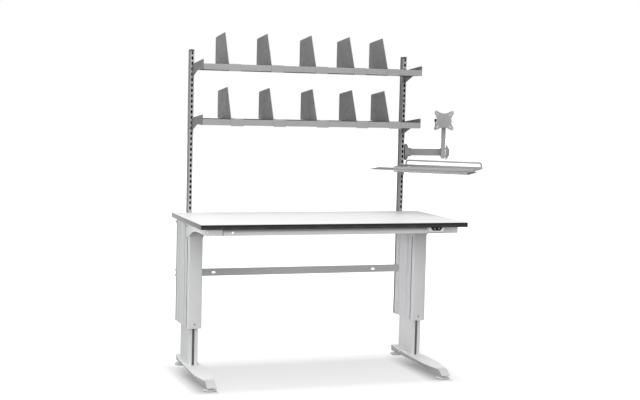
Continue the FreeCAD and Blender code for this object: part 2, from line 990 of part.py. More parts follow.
# Upright mounts: folded channels on the rear covers, open to the rear, each beside its upright
def upright_mount(side):
    name = side + "_upright_mount"
    sheet = d.mount_sheet
    front = d.rear_cover_face
    inner = upright_x + d.upright_width / 2
    outer = leg_x + cover_half
    section = [
        (inner, upright_rear),
        (inner, front, sheet),
        (outer, front, sheet),
        (outer, upright_rear),
        (outer - sheet, upright_rear),
        (outer - sheet, front + sheet),
        (inner + sheet, front + sheet),
        (inner + sheet, upright_rear),
    ]
    if SIDES[side] < 0:
        section = [(-corner[0], *corner[1:]) for corner in section]
    channel = profile(name + "_channel", "XY", [section], d.sleeve_bottom, sleeve_length)
    width = outer - inner
    start = inner if SIDES[side] > 0 else -outer
    return cut(name, channel, *bolt_rods(name, d.bolt_radius, start, width))


# Cross bolts through the mounts and uprights, each with a nut on the upright's inner side
def upright_bolts():
    bolts = []
    inner = upright_x - d.upright_width / 2
    outer = leg_x + cover_half
    for side, sign in SIDES.items():
        name = f"bolt_{side}"
        shank_start = inner if sign > 0 else -outer
        head_start = outer if sign > 0 else -outer - d.bolt_head
        nut_start = inner - d.bolt_nut if sign > 0 else -inner
        shanks = bolt_rods(name + "_shank", d.bolt_radius, shank_start, outer - inner)
        heads = bolt_rods(name + "_head", d.bolt_head_radius, head_start, d.bolt_head)
        nuts = bolt_rods(name + "_nut", d.bolt_head_radius, nut_start, d.bolt_nut)
        for i, pieces in enumerate(zip(shanks, heads, nuts)):
            bolts.append(fuse(f"{name}_{i}", *pieces))
    return bolts


# Shelf: a sheet folded down at the front and rear, each lip with a return
def shelf(level):
    name = level + "_shelf"
    top = shelf_tops[level]
    sheet = d.shelf_sheet
    front = d.shelf_front
    rear = d.shelf_rear
    low = top - d.shelf_lip
    section = [
        (front, top, sheet),
        (rear, top, sheet),
        (rear, low),
        (rear - d.shelf_return, low),
        (rear - d.shelf_return, low + sheet),
        (rear - sheet, low + sheet),
        (rear - sheet, top - sheet),
        (front + sheet, top - sheet),
        (front + sheet, low + sheet),
        (front + d.shelf_return, low + sheet),
        (front + d.shelf_return, low),
        (front, low),
    ]
    node(name, profile(name, "YZ", [section], -d.shelf_length / 2, d.shelf_length))


# Shelf brackets: one tapered plate at each end, with two holes and two hooks in the upright's slots
def shelf_brackets(level):
    name = level + "_shelf_brackets"
    top = shelf_tops[level]
    front = d.shelf_front
    sheet = d.bracket_sheet
    outline = [
        (front, top - d.bracket_drop, d.bracket_corner),
        (d.bracket_level, top - d.bracket_drop),
        (d.upright_front, top - d.bracket_rear_drop),
        (d.upright_front, top),
        (front, top + d.bracket_rise, d.bracket_corner),
    ]
    plates = []
    for side, sign in SIDES.items():
        inside = d.shelf_length / 2
        x = inside if sign > 0 else -inside - sheet
        plate = profile(f"{name}_{side}_plate", "YZ", [outline], x, sheet)
        hooks = []
        for i in range(2):
            z = top - d.shelf_over_slot - i * d.slot_pitch - d.hook_height / 2
            hook = (sheet, d.hook_reach, d.hook_height)
            hooks.append(box(f"{name}_{side}_hook_{i}", hook, (x, d.upright_front, z)))
        holes = [
            rod(f"{name}_{side}_{word}_hole", d.bracket_hole, sheet, (x, y, z), "X")
            for word, y, z in (
                ("front", front + d.bracket_hole_inset, top + d.bracket_hole_rise),
                ("rear", d.upright_front - d.bracket_hole_inset, top - d.bracket_hole_drop),
            )
        ]
        plates.append(cut(f"{name}_{side}", fuse(f"{name}_{side}_hooked", plate, *hooks), *holes))
    node(name, group(name, *plates))


# Divider: an upright plate on a flat foot that lies on the shelf and grips its front lip
def divider(level, number_in_row, x):
    name = f"{level}_divider_{number_in_row}"
    floor = shelf_tops[level] + d.slide_gap
    sheet = d.divider_sheet
    front = d.shelf_front - d.slide_gap - sheet
    rear = d.shelf_rear
    slant = d.shelf_front + d.divider_slant
    blade_rear = rear + d.divider_overhang
    blade = [
        (d.shelf_front, floor),
        (slant, floor + d.divider_front_height, d.divider_corner),
        (blade_rear, floor + d.divider_rear_height, d.divider_corner),
        (blade_rear, floor, d.divider_corner),
    ]
    plate = profile(name + "_plate", "YZ", [blade], 0, sheet)
    grip = [
        (rear, floor),
        (rear, floor + sheet),
        (front, floor + sheet, sheet),
        (front, floor - d.divider_hook),
        (front + sheet, floor - d.divider_hook),
        (front + sheet, floor),
    ]
    base = profile(name + "_foot", "YZ", [grip], 0, d.divider_foot)
    node(name, fuse(name, plate, base), x)


# Monitor arm: bracket, pads, arm, post and screen head, each about its own pivot

def lug_outline(x0, half, reach):
    """A flat lug that runs from x0 to a round end about the pivot."""
    round_end = half * ROUND_END
    return [(x0, -half), (reach, -half, round_end), (reach, half, round_end), (x0, half)]


def arm_bracket():
    name = "arm_bracket"
    plate_x = upright_x + d.upright_width / 2 + d.pad_sheet - arm_hinge_x
    half = d.lug_width / 2
    plate = rod(name + "_plate", d.plate_radius, d.plate_sheet, (plate_x, 0, d.arm_z), "X")
    outline = lug_outline(plate_x, half, half)
    under = d.arm_z - d.arm_height / 2 - d.running_gap - d.lug_sheet
    over = d.arm_z + d.arm_height / 2 + d.running_gap
    lower = profile(name + "_lower_lug", "XY", [outline], under, d.lug_sheet)
    upper = profile(name + "_upper_lug", "XY", [outline], over, d.lug_sheet)
    pin = rod(name + "_pin", d.arm_pin, over - under + d.lug_sheet, (0, 0, under))
    node(name, fuse(name, plate, lower, upper, pin), arm_hinge_x, d.arm_hinge_y)


def arm_pad():
    """The dark friction pad between the upright and the bracket's round plate."""
    name = "arm_friction_pad"
    side_x = upright_x + d.upright_width / 2
    disc = rod(name + "_disc", d.arm_pad_radius, d.pad_sheet, (side_x, d.arm_hinge_y, d.arm_z), "X")
    node(name, group(name, disc))


def post_pad():
    """The dark friction pad on the outside of the post's yoke."""
    name = "post_friction_pad"
    x = d.lug_width / 2 + d.lug_sheet
    disc = rod(name + "_disc", d.post_pad_radius, d.pad_sheet, (x, 0, d.arm_z), "X")
    node(name, group(name, disc), arm_hinge_x + d.arm_length, d.arm_hinge_y, 0, d.post_turn)


def monitor_arm():
    name = "monitor_arm"
    half = d.arm_width / 2
    near_end = half * ROUND_END
    outline = [
        (-half, -half, near_end),
        (d.arm_length + half, -half, near_end),
        (d.arm_length + half, half, near_end),
        (-half, half, near_end),
    ]
    low = d.arm_z - d.arm_height / 2
    tube = profile(name + "_tube", "XY", [outline], low, d.arm_height)
    bores = [
        rod(f"{name}_bore_{i}", d.arm_pin + d.pin_gap, d.arm_height, (x, 0, low))
        for i, x in enumerate((0, d.arm_length))
    ]
    node(name, cut(name, tube, *bores), arm_hinge_x, d.arm_hinge_y)


def monitor_post():
    """The square post, welded to a yoke of two lugs, a round plate and a pin at the arm's far end."""
    name = "monitor_post"
    half = d.lug_width / 2
    under = d.arm_z - d.arm_height / 2 - d.running_gap - d.lug_sheet
    over = d.arm_z + d.arm_height / 2 + d.running_gap
    post_half = d.post_width / 2
    wall = d.rail_wall
    middle = -d.post_offset
    outline = [
        (-post_half, middle + post_half),
        (post_half, middle + post_half),
        (half, 0),
        (half, half, d.lug_sheet),
        (0, half, half * ROUND_END),
        (-half, half / 4, half / 2),
    ]
    lower = profile(name + "_lower_lug", "XY", [outline], under, d.lug_sheet)
    upper = profile(name + "_upper_lug", "XY", [outline], over, d.lug_sheet)
    height = over - under + d.lug_sheet
    back = rod(name + "_back", d.plate_radius, d.lug_sheet, (half, 0, d.arm_z), "X")
    pin = rod(name + "_pin", d.arm_pin, height, (0, 0, under))
    outer = rectangle(-post_half, middle - post_half, post_half, middle + post_half, wall)
    inside = post_half - wall
    inner = rectangle(-inside, middle - inside, inside, middle + inside)
    tube = profile(name + "_tube", "XY", [outer, inner], d.post_bottom, d.post_height)
    piece = fuse(name, lower, upper, back, pin, tube)
    node(name, piece, arm_hinge_x + d.arm_length, d.arm_hinge_y, 0, d.post_turn)


def screen_head():
    """The sliding clamp, its tilt pin and nut, the screen plate and the clamp lever."""
    place_at = (arm_hinge_x + d.arm_length, d.arm_hinge_y, 0, d.post_turn)
    middle = -d.post_offset
    half = d.head_width / 2
    low = d.head_z - d.head_height / 2
    tilt_y = middle - d.tilt_offset
    hole = d.post_width / 2 + d.head_gap
    block = profile(
        "head_block", "XY",
        [
            rectangle(-half, middle - half, half, middle + half, d.ear_sheet),
            rectangle(-hole, middle - hole, hole, middle + hole),
        ],
        low, d.head_height,
    )
    lug_half = d.tilt_lug_width / 2
    lug_rise = d.tilt_lug_height / 2
    lug = box(
        "head_lug",
        (d.tilt_lug_width, d.tilt_offset - half + d.tilt_lug_ahead, d.tilt_lug_height),
        (-lug_half, tilt_y - d.tilt_lug_ahead, d.head_z - lug_rise),
    )
    body = fuse("head_body", block, lug)
    pin_length = d.pin_reach * 2 + d.lever_hub_length
    pin_start = -d.pin_reach - d.lever_hub_length
    lug_bore = rod("head_bore", d.tilt_pin, d.tilt_lug_width, (-lug_half, tilt_y, d.head_z), "X")
    node("head_clamp", cut("head_clamp", body, lug_bore), *place_at)
    pin = rod("tilt_pin_rod", d.tilt_pin, pin_length, (pin_start, tilt_y, d.head_z), "X")
    nut = rod("tilt_pin_nut", d.nut_head, d.nut_length, (d.pin_reach, tilt_y, d.head_z), "X")
    node("tilt_pin", fuse("tilt_pin", pin, nut), *place_at)

    reach = d.vesa_square / 2
    waist = d.vesa_waist
    tip = d.vesa_tip
    far = reach + tip
    corner = d.vesa_tip_corner
    curve = d.vesa_waist_curve
    outline = [
        (-far, -far, corner), (-far + 2 * tip, -far, corner),
        (0, -waist, curve),
        (far - 2 * tip, -far, corner), (far, -far, corner), (far, -far + 2 * tip, corner),
        (waist, 0, curve),
        (far, far - 2 * tip, corner), (far, far, corner), (far - 2 * tip, far, corner),
        (0, waist, curve),
        (-far + 2 * tip, far, corner), (-far, far, corner), (-far, far - 2 * tip, corner),
        (-waist, 0, curve),
        (-far, -far + 2 * tip, corner),
    ]
    face = middle - d.vesa_offset
    raised = [(x, z + d.head_z, rounding) for x, z, rounding in outline]
    plate = profile("vesa_blank", "XZ", [raised], -face, d.vesa_sheet)
    holes = []
    for i, (sign_x, sign_z) in enumerate(((-1, -1), (1, -1), (1, 1), (-1, 1))):
        spot = (sign_x * reach, face - d.vesa_sheet, sign_z * reach + d.head_z)
        holes.append(rod(f"vesa_hole_{i}", d.vesa_hole, d.vesa_sheet, spot, "Y"))
        edge = d.vesa_hole
        slot = rectangle(d.vesa_slot_near, -edge, d.vesa_slot_far, edge, edge * ROUND_END)
        opening = profile(f"vesa_slot_{i}", "XZ", [slot], -face, d.vesa_sheet)
        holes.append(place(opening, 0, 0, d.head_z, 45 + 90 * i, Vector(0, 1, 0)))
    drilled = cut("vesa_drilled", plate, *holes)
    ears = []
    for word, x in (("left", -lug_half - d.ear_gap - d.ear_sheet), ("right", lug_half + d.ear_gap)):
        size = (d.ear_sheet, tilt_y - face + lug_rise, d.tilt_lug_height)
        ear = box(f"vesa_{word}_ear", size, (x, face, d.head_z - lug_rise))
        bore = rod(f"vesa_{word}_bore", d.tilt_pin + d.pin_gap, d.ear_sheet, (x, tilt_y, d.head_z), "X")
        ears.append(cut(f"vesa_{word}_lug", ear, bore))
    node("vesa_plate", fuse("vesa_plate", drilled, *ears), *place_at)

    hub_x = -d.pin_reach - d.lever_hub_length
    hub = rod("lever_hub_rod", d.lever_hub, d.lever_hub_length, (hub_x, tilt_y, d.head_z), "X")
    hub_bore = rod("lever_bore", d.tilt_pin + d.pin_gap, d.lever_hub_length, (hub_x, tilt_y, d.head_z), "X")
    arm_x = hub_x + d.lever_hub_length / 2
    drop = d.lever_length - (d.lever_hub + d.tilt_pin) / 2
    arm = rod("lever_rod", d.lever_rod, drop, (arm_x, tilt_y, d.head_z - d.lever_length))
    ball = doc.addObject("Part::Sphere", "lever_ball")
    bind(ball, "Radius", d.lever_ball)
    place(ball, arm_x, tilt_y, d.head_z - d.lever_length)
    whole = fuse("lever_whole", hub, arm, ball)
    node("clamp_lever", cut("clamp_lever", whole, hub_bore), *place_at)


# Keyboard tray: bracket on the upright, support plate, guides, tray, wire rail and mouse plate
def tray_bracket():
    name = "tray_bracket"
    half = d.upright_width / 2
    sheet = d.tray_bracket_sheet
    low = d.tray_bracket_bottom
    face = d.upright_front - sheet
    plate = box(
        name + "_plate",
        (d.upright_width, sheet, d.tray_bracket_height),
        (upright_x - half, face, low),
    )
    hub = d.tray_hub
    lug_low = low + d.tray_bracket_height - d.tray_lug_height
    outline = [
        (upright_x - half, face),
        (tray_hinge_x - hub, d.tray_hinge_y - hub, hub),
        (tray_hinge_x + hub, d.tray_hinge_y - hub, hub * ROUND_END),
        (tray_hinge_x + hub, d.tray_hinge_y + hub / 2, hub / 2),
        (upright_x + half, face),
    ]
    lug = profile(name + "_lug", "XY", [outline], lug_low, d.tray_lug_height)
    pin_low = lug_low + d.tray_lug_height
    pin_top = d.tray_floor - d.tray_sheet - 2 * d.running_gap
    pin = rod(name + "_pin", d.tray_pin, pin_top - lug_low, (tray_hinge_x, d.tray_hinge_y, lug_low))
    node(name, fuse(name, plate, lug, pin))
    return pin_low


def keyboard_tray(pin_low):
    place_at = (tray_hinge_x, d.tray_hinge_y, 0, d.tray_turn)
    plate_low = d.support_top - d.support_sheet
    plate_edge = d.support_inset - d.tray_front
    outline = rectangle(-d.tray_left, plate_edge, d.support_right, d.support_behind, d.tray_corner)
    plate = profile("tray_support_plate", "XY", [outline], plate_low, d.support_sheet)
    hub_low = pin_low + d.running_gap
    under = d.tray_floor - d.tray_sheet
    hub_height = under - d.running_gap - hub_low
    hub = rod("tray_hub", d.tray_hub, hub_height, (0, 0, hub_low))
    bore = rod("tray_hub_bore", d.tray_pin + d.pin_gap, hub_height, (0, 0, hub_low))
    height = under - d.support_top
    front = d.guide_front_inset - d.tray_front
    rear = -d.guide_rear - d.guide_depth
    groove_length = d.guide_right + d.tray_left
    slot_low = d.mouse_low - d.running_gap
    slot = d.mouse_sheet + 2 * d.running_gap
    bars = []
    for word, y, groove, length in (
        ("front", front, front + d.guide_depth - d.guide_groove, d.guide_end + d.guide_depth + d.tray_left),
        ("rear", rear, rear, groove_length),
    ):
        bar = box(f"guide_{word}_bar", (length, d.guide_depth, height), (-d.tray_left, y, d.support_top))
        size = (groove_length, d.guide_groove, slot)
        channel = box(f"guide_{word}_groove", size, (-d.tray_left, groove, slot_low))
        bars.append(cut(f"guide_{word}", bar, channel))
    span = d.tray_front - d.guide_front_inset - d.guide_rear
    bars.append(box("guide_end", (d.guide_depth, span, height), (d.guide_end, front, d.support_top)))
    frame = fuse("tray_support_frame", plate, hub, *bars)
    node("tray_support", cut("tray_support", frame, bore), *place_at)

    pan = profile(
        "keyboard_tray", "XY",
        [rectangle(-d.tray_left, -d.tray_front, d.tray_right, d.tray_behind, d.tray_corner)],
        under, d.tray_sheet + d.tray_rim,
    )
    wall = d.tray_sheet
    inside = rectangle(
        wall - d.tray_left,
        wall - d.tray_front,
        d.tray_right - wall,
        d.tray_behind - wall,
        d.tray_corner - wall,
    )
    pocket(pan, "keyboard_tray_well", "XY", [inside], d.tray_floor + d.tray_rim, d.tray_rim)
    node("keyboard_tray", pan, *place_at)

    tray_rail(place_at)

    gap = d.running_gap
    plate_front = front + d.guide_depth - d.guide_groove + gap
    plate_rear = -d.guide_rear - d.guide_depth + d.guide_groove - gap
    corner = d.mouse_corner
    outline = [
        (-d.tray_left - d.mouse_out, plate_front, corner),
        (d.mouse_in, plate_front),
        (d.mouse_in, plate_rear),
        (-d.tray_left - d.mouse_out, plate_rear, corner),
    ]
    node("mouse_plate", profile("mouse_plate", "XY", [outline], d.mouse_low, d.mouse_sheet), *place_at)


def tray_rail(place_at):
    """A round wire bent over the rear edge of the tray, standing on its floor."""
    name = "tray_rail"
    inset = d.tray_rail_inset
    left = inset - d.tray_left
    right = d.tray_right - inset
    y = d.tray_behind - inset
    top = d.tray_rail_top - d.tray_rail_radius
    bend = d.tray_rail_bend
    body = doc.addObject("PartDesign::Body", name)
    path = sketch_on(body, name + "_path", "XZ", -y)
    corners = [(left, d.tray_floor), (left, top), (right, top), (right, d.tray_floor)]
    spots = [Vector(number(x), number(z), 0) for x, z in corners]
    for i in range(3):
        path.addGeometry(Part.LineSegment(spots[i], spots[i + 1]))
    for i in range(2):
        path.addConstraint(Sketcher.Constraint("Coincident", i, 2, i + 1, 1))
    for i in range(3):
        pin_corner(path, i, 1, f"{i}", *corners[i])
    pin_corner(path, 2, 2, "end", *corners[3])
    for edge in (1, 2):
        arc = path.GeometryCount
        path.fillet(edge, 1, number(bend), True, True)
        rule = Sketcher.Constraint("Radius", arc, number(bend))
        path.renameConstraint(path.addConstraint(rule), f"round_{arc}")
        bind(path, f"Constraints.round_{arc}", bend)
    section = sketch_on(body, name + "_section", "XY", d.tray_floor)
    circle(section, left, y, d.tray_rail_radius)
    pipe = body.newObject("PartDesign::AdditivePipe", name + "_wire")
    pipe.Profile = section
    pipe.Spine = path
    node(name, body, *place_at)


# Screw heads that show on the covers and on the outer cheeks of the support arms
def frame_screws():
    heads = []
    for side, sign in SIDES.items():
        x = sign * leg_x
        face = d.front_cover_face - d.screw_head
        spot = (x, face, d.sleeve_bottom + d.cover_screw_rise)
        heads.append(rod(f"screw_{side}_cover", d.screw_radius, d.screw_head, spot, "Y"))
        outside = cover_half + d.arm_sheet
        start = x - outside - d.screw_head if sign < 0 else x + outside
        y = d.arm_rear - d.screw_inset
        for i, z in enumerate((underside - d.cheek_screw_drop, underside - d.arm_deep + d.screw_inset)):
            heads.append(rod(f"screw_{side}_cheek_{i}", d.screw_radius, d.screw_head, (start, y, z), "X"))
    return heads


worktop()
for side in SIDES:
    foot(side)
    glide(side, "front", d.front_glide_y)
    glide(side, "rear", d.rear_glide_y)
    column(side)
    spindle_nut(side)
    spindle(side)
    support_arm(side)
    upright(side)
leg_pairs = {
    "lift_drives": lift_drive,
    "sleeves": sleeve,
    "guide_pads": guide_pads,
    "front_covers": front_cover,
    "rear_covers": rear_cover,
}
for label, make in leg_pairs.items():
    pair = [place(make(side), sign * leg_x, 0, 0) for side, sign in SIDES.items()]
    node(label, group(label, *pair))
hole_at = (d.rail_hole_inset - rail_half, d.arm_front, underside - d.rail_hole_drop)
rail_hole = rod("rail_hole", d.rail_hole, d.rail_wall, hole_at, "Y")
front_rail = cut("front_rail", worktop_rail("front_rail_channel", d.arm_front), rail_hole)
cross_rail = worktop_rail("cross_rail", d.cross_rail_front)
node("worktop_rails", group("worktop_rails", front_rail, cross_rail))
control_box()
hand_switch()
rear_stretcher()
mounts = [upright_mount(side) for side in SIDES]
node("upright_mounts", group("upright_mounts", *mounts))
node("frame_fasteners", group("frame_fasteners", *upright_bolts(), *frame_screws()))
for level in shelf_tops:
    shelf(level)
    shelf_brackets(level)
    for place_in_row in range(1, 6):
        divider(level, place_in_row, getattr(d, f"{level}_divider_{place_in_row}"))
arm_bracket()
arm_pad()
post_pad()
monitor_arm()
monitor_post()
screen_head()
keyboard_tray(tray_bracket())

doc.recompute()
for thing in doc.Objects:
    if {"Invalid", "Error"} & set(thing.State):
        raise RuntimeError(f"{thing.Name} could not be built: {thing.State}")
for piece in nodes:
    if piece.Shape.isNull() or not piece.Shape.isValid():
        raise RuntimeError(f"{piece.Label} has no valid solid")

os.makedirs("parts", exist_ok=True)
for piece in nodes:
    piece.Shape.exportStep(f"parts/{piece.Label}.step")
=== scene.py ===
import json
import math

import bmesh
import bpy
from mathutils import Matrix, Vector

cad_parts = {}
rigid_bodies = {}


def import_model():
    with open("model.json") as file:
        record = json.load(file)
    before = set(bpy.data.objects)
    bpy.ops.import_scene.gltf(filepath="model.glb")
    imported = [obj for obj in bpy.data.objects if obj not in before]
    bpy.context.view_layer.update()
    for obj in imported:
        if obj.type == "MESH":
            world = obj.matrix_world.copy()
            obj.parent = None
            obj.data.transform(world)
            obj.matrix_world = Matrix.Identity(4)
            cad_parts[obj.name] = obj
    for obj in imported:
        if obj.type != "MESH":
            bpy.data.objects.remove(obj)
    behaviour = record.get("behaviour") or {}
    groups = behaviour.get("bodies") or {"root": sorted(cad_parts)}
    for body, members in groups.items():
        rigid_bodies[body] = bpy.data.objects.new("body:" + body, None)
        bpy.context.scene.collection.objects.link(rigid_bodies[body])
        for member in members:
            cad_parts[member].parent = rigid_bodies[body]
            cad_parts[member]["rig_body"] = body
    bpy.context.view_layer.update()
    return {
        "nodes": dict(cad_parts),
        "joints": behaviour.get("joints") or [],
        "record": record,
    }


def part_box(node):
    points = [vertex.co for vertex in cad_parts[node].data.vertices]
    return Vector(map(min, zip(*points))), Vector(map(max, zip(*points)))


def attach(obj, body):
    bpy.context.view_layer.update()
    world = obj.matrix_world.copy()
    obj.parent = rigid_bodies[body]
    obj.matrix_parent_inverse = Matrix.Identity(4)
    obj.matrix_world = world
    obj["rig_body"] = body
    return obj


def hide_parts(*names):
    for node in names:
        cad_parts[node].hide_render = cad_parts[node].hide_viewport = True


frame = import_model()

bpy.context.scene.view_settings.view_transform = "Standard"


# Feet: two folded steel beams, tapered to the toe and open at the rear, under a light grey powder coat.
# The coat is sprayed and baked, so it has a fine orange-peel grain, and dust settles on its upper faces.
# The toes and the sides are painted a darker grey than the tops, a painted shade.
def shader_node(tree, kind, inputs=None, **settings):
    """One node, with its settings and with values or links for its inputs."""
    made = tree.nodes.new(kind)
    for key, value in settings.items():
        setattr(made, key, value)
    for key, value in (inputs or {}).items():
        if isinstance(value, bpy.types.NodeSocket):
            tree.links.new(value, made.inputs[key])
        else:
            made.inputs[key].default_value = value
    return made


def finish_group(name, inputs, outputs):
    """An empty node group with named sockets: its tree, its input node and its output node."""
    tree = bpy.data.node_groups.new(name, "ShaderNodeTree")
    for direction, sockets in (("INPUT", inputs), ("OUTPUT", outputs)):
        for label, kind in sockets.items():
            tree.interface.new_socket(label, in_out=direction, socket_type="NodeSocket" + kind)
    return tree, tree.nodes.new("NodeGroupInput"), tree.nodes.new("NodeGroupOutput")


def noise(tree, scale, detail=2.0, vector=None):
    """A noise on Object coordinates, counted in bumps to the metre."""
    vector = vector or tree.nodes.new("ShaderNodeTexCoord").outputs["Object"]
    values = {"Vector": vector, "Scale": scale, "Detail": detail}
    return shader_node(tree, "ShaderNodeTexNoise", values).outputs["Fac"]


def spread(tree, value, low, high, start=0.3, end=0.7):
    """Stretches a value between start and end over the range from low to high."""
    limits = {"Value": value, "From Min": start, "From Max": end, "To Min": low, "To Max": high}
    return shader_node(tree, "ShaderNodeMapRange", limits).outputs["Result"]


def maths(tree, operation, *values):
    """One step of arithmetic on values or links."""
    return shader_node(tree, "ShaderNodeMath", dict(enumerate(values)), operation=operation).outputs[0]


def mixed(tree, factor, base, over):
    """Two colours, mixed by a factor."""
    values = {"Factor": factor, "A": base, "B": over}
    return shader_node(tree, "ShaderNodeMix", values, data_type="RGBA").outputs["Result"]


def bumps(tree, height, strength, distance):
    """A normal that follows a height."""
    values = {"Height": height, "Strength": strength, "Distance": distance}
    return shader_node(tree, "ShaderNodeBump", values).outputs["Normal"]


def places_in(tree):
    """The X, Y and Z of Object coordinates."""
    spot = tree.nodes.new("ShaderNodeTexCoord").outputs["Object"]
    return shader_node(tree, "ShaderNodeSeparateXYZ", {"Vector": spot}).outputs


def overlaid(material, factor, colour):
    """Lays a colour over a finish wherever the factor is up."""
    tree = material.node_tree
    base = tree.nodes["Principled BSDF"].inputs["Base Color"]
    tree.links.new(mixed(tree, factor, base.links[0].from_socket, colour), base)


def powder_coat_group():
    """The mottle, dust and orange peel of a powder coat."""
    tree, given, made = finish_group(
        "Powder coat",
        {"Colour": "Color", "Mottle": "Float", "Dust": "Float"},
        {"Colour": "Color", "Roughness": "Float", "Normal": "Vector"},
    )
    plain = given.outputs["Colour"]
    paler = mixed(tree, given.outputs["Mottle"], plain, (1, 1, 1, 1))
    patchy = mixed(tree, spread(tree, noise(tree, 4.0, 3.0), 0.0, 1.0), plain, paler)
    normal = tree.nodes.new("ShaderNodeNewGeometry").outputs["Normal"]
    facing = shader_node(tree, "ShaderNodeSeparateXYZ", {"Vector": normal}).outputs["Z"]
    upward = spread(tree, facing, 0.0, 1.0, 0.5, 1.0)
    settled = maths(tree, "MULTIPLY", upward, spread(tree, noise(tree, 22.0), 0.2, 1.0))
    dusty = maths(tree, "MULTIPLY", settled, given.outputs["Dust"])
    colour = mixed(tree, dusty, patchy, (0.72, 0.71, 0.69, 1))
    rough = maths(tree, "ADD", spread(tree, noise(tree, 35.0), 0.40, 0.54), dusty)
    peel = bumps(tree, noise(tree, 620.0, 3.0), 0.16, 0.0004)
    tree.links.new(colour, made.inputs["Colour"])
    tree.links.new(rough, made.inputs["Roughness"])
    tree.links.new(peel, made.inputs["Normal"])
    return tree


def grey(level, warm=0.0):
    """A neutral colour, a little warm or cool."""
    return (level * (1 + warm), level, level * (1 - warm), 1)


powder_coat = powder_coat_group()


def coated(name, colour, mottle=0.05, dust=0.10):
    """A powder-coated sheet metal."""
    material = bpy.data.materials.new(name)
    material.use_nodes = True
    tree = material.node_tree
    values = {"Colour": colour, "Mottle": mottle, "Dust": dust}
    coat = shader_node(tree, "ShaderNodeGroup", node_tree=powder_coat)
    for key, value in values.items():
        coat.inputs[key].default_value = value
    bsdf = tree.nodes["Principled BSDF"]
    tree.links.new(coat.outputs["Colour"], bsdf.inputs["Base Color"])
    tree.links.new(coat.outputs["Roughness"], bsdf.inputs["Roughness"])
    tree.links.new(coat.outputs["Normal"], bsdf.inputs["Normal"])
    return material


def piece(name, bm, materials, body, slot, *stands_for):
    """Makes a mesh a piece of the table that moves with a body."""
    mesh = bpy.data.meshes.new(name)
    bm.to_mesh(mesh)
    bm.free()
    mesh.shade_smooth()
    mesh.set_sharp_from_angle(angle=math.radians(32))
    for material in materials:
        mesh.materials.append(material)
    made = bpy.data.objects.new(name, mesh)
    bpy.context.scene.collection.objects.link(made)
    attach(made, body)
    if stands_for:
        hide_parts(*stands_for)
    return made


def ease(made, width, segments=2, edge_material=-1):
    """Rounds the sharp edges of a piece."""
    bevel = made.modifiers.new("Eased edges", "BEVEL")
    bevel.limit_method = "ANGLE"
    bevel.angle_limit = math.radians(40)
    bevel.width = width
    bevel.segments = segments
    bevel.profile = 0.5
    bevel.material = edge_material
    bevel.harden_normals = True
    return made


slot_of = {row["node"]: row["material_slot"] for row in frame["record"]["subparts"]}


def finished(node, coat, width, edge=None, inner=None, is_inner=None, shape=None):
    """The CAD piece in its finish, its edges eased and rubbed, and some faces in an inner finish."""
    source = frame["nodes"][node]
    bm = bmesh.new()
    bm.from_mesh(source.data)
    bmesh.ops.remove_doubles(bm, verts=bm.verts, dist=0.00001)
    bmesh.ops.dissolve_limit(bm, angle_limit=math.radians(0.5), verts=bm.verts, edges=bm.edges)
    if shape:
        shape(bm)
        bm.normal_update()
    for face in bm.faces:
        face.material_index = 2 if inner and is_inner(face) else 0
    materials = [coat, edge or coat, inner or coat]
    made = piece(node + "_finished", bm, materials, source["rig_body"], slot_of[node], node)
    return ease(made, width, edge_material=1 if edge else -1)


board_low, board_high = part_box("worktop_board")
foot_low, foot_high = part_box("right_foot")
TABLE_X = (board_low.x + board_high.x) / 2
LEG_X = (foot_low.x + foot_high.x) / 2 - TABLE_X
CORE_HALF, UNDERCUT = 0.0205, 0.36
LEAN_START, LEAN_FULL = foot_low.y + 0.005, foot_low.y + 0.125
TOE_DARK, TOE_PALE, TOE_SHADE = foot_low.y + 0.045, foot_low.y + 0.105, 0.8
frame_grey = coated("Light grey powder coat", grey(0.68, -0.004))
frame_grey_edge = coated("Light grey powder coat, rubbed edge", grey(0.80, -0.003), dust=0.0)
foot_grey = coated("Light grey foot coat", grey(0.93, -0.003), 0.03, 0.10)
tree = foot_grey.node_tree
# Painted shade: the toe end of each foot is darkened towards the front.
toe_painted_shade = spread(tree, places_in(tree)["Y"], TOE_SHADE, 0.0, TOE_DARK, TOE_PALE)
overlaid(foot_grey, toe_painted_shade, grey(0.50))
# Painted shade: the feet's sideways faces get this darker grey.
foot_side_painted_shade = coated("Light grey foot coat on the sides", grey(0.46, -0.004), 0.08, 0.0)


def lean_in(bm):
    """Draws the lower edges of a foot's wings in under its top, less towards the toe."""
    high = max(vert.co.z for vert in bm.verts)
    low = min(vert.co.z for vert in bm.verts)
    middle = sum(limit(vert.co.x for vert in bm.verts) for limit in (min, max)) / 2
    for vert in bm.verts:
        off = vert.co.x - middle
        if abs(off) > CORE_HALF:
            behind_toe = min(max((vert.co.y - LEAN_START) / (LEAN_FULL - LEAN_START), 0), 1)
            share = (high - vert.co.z) / (high - low) * behind_toe
            vert.co.x = middle + math.copysign(max(CORE_HALF, abs(off) * (1 - UNDERCUT * share)), off)


def on_foot_side(face):
    """Tells the sideways faces of a foot."""
    return abs(face.normal.x) > 0.5 and abs(face.normal.z) < 0.75


for side in ("left", "right"):
    finished(
        side + "_foot", foot_grey, 0.0012, inner=foot_side_painted_shade, is_inner=on_foot_side, shape=lean_in
    )


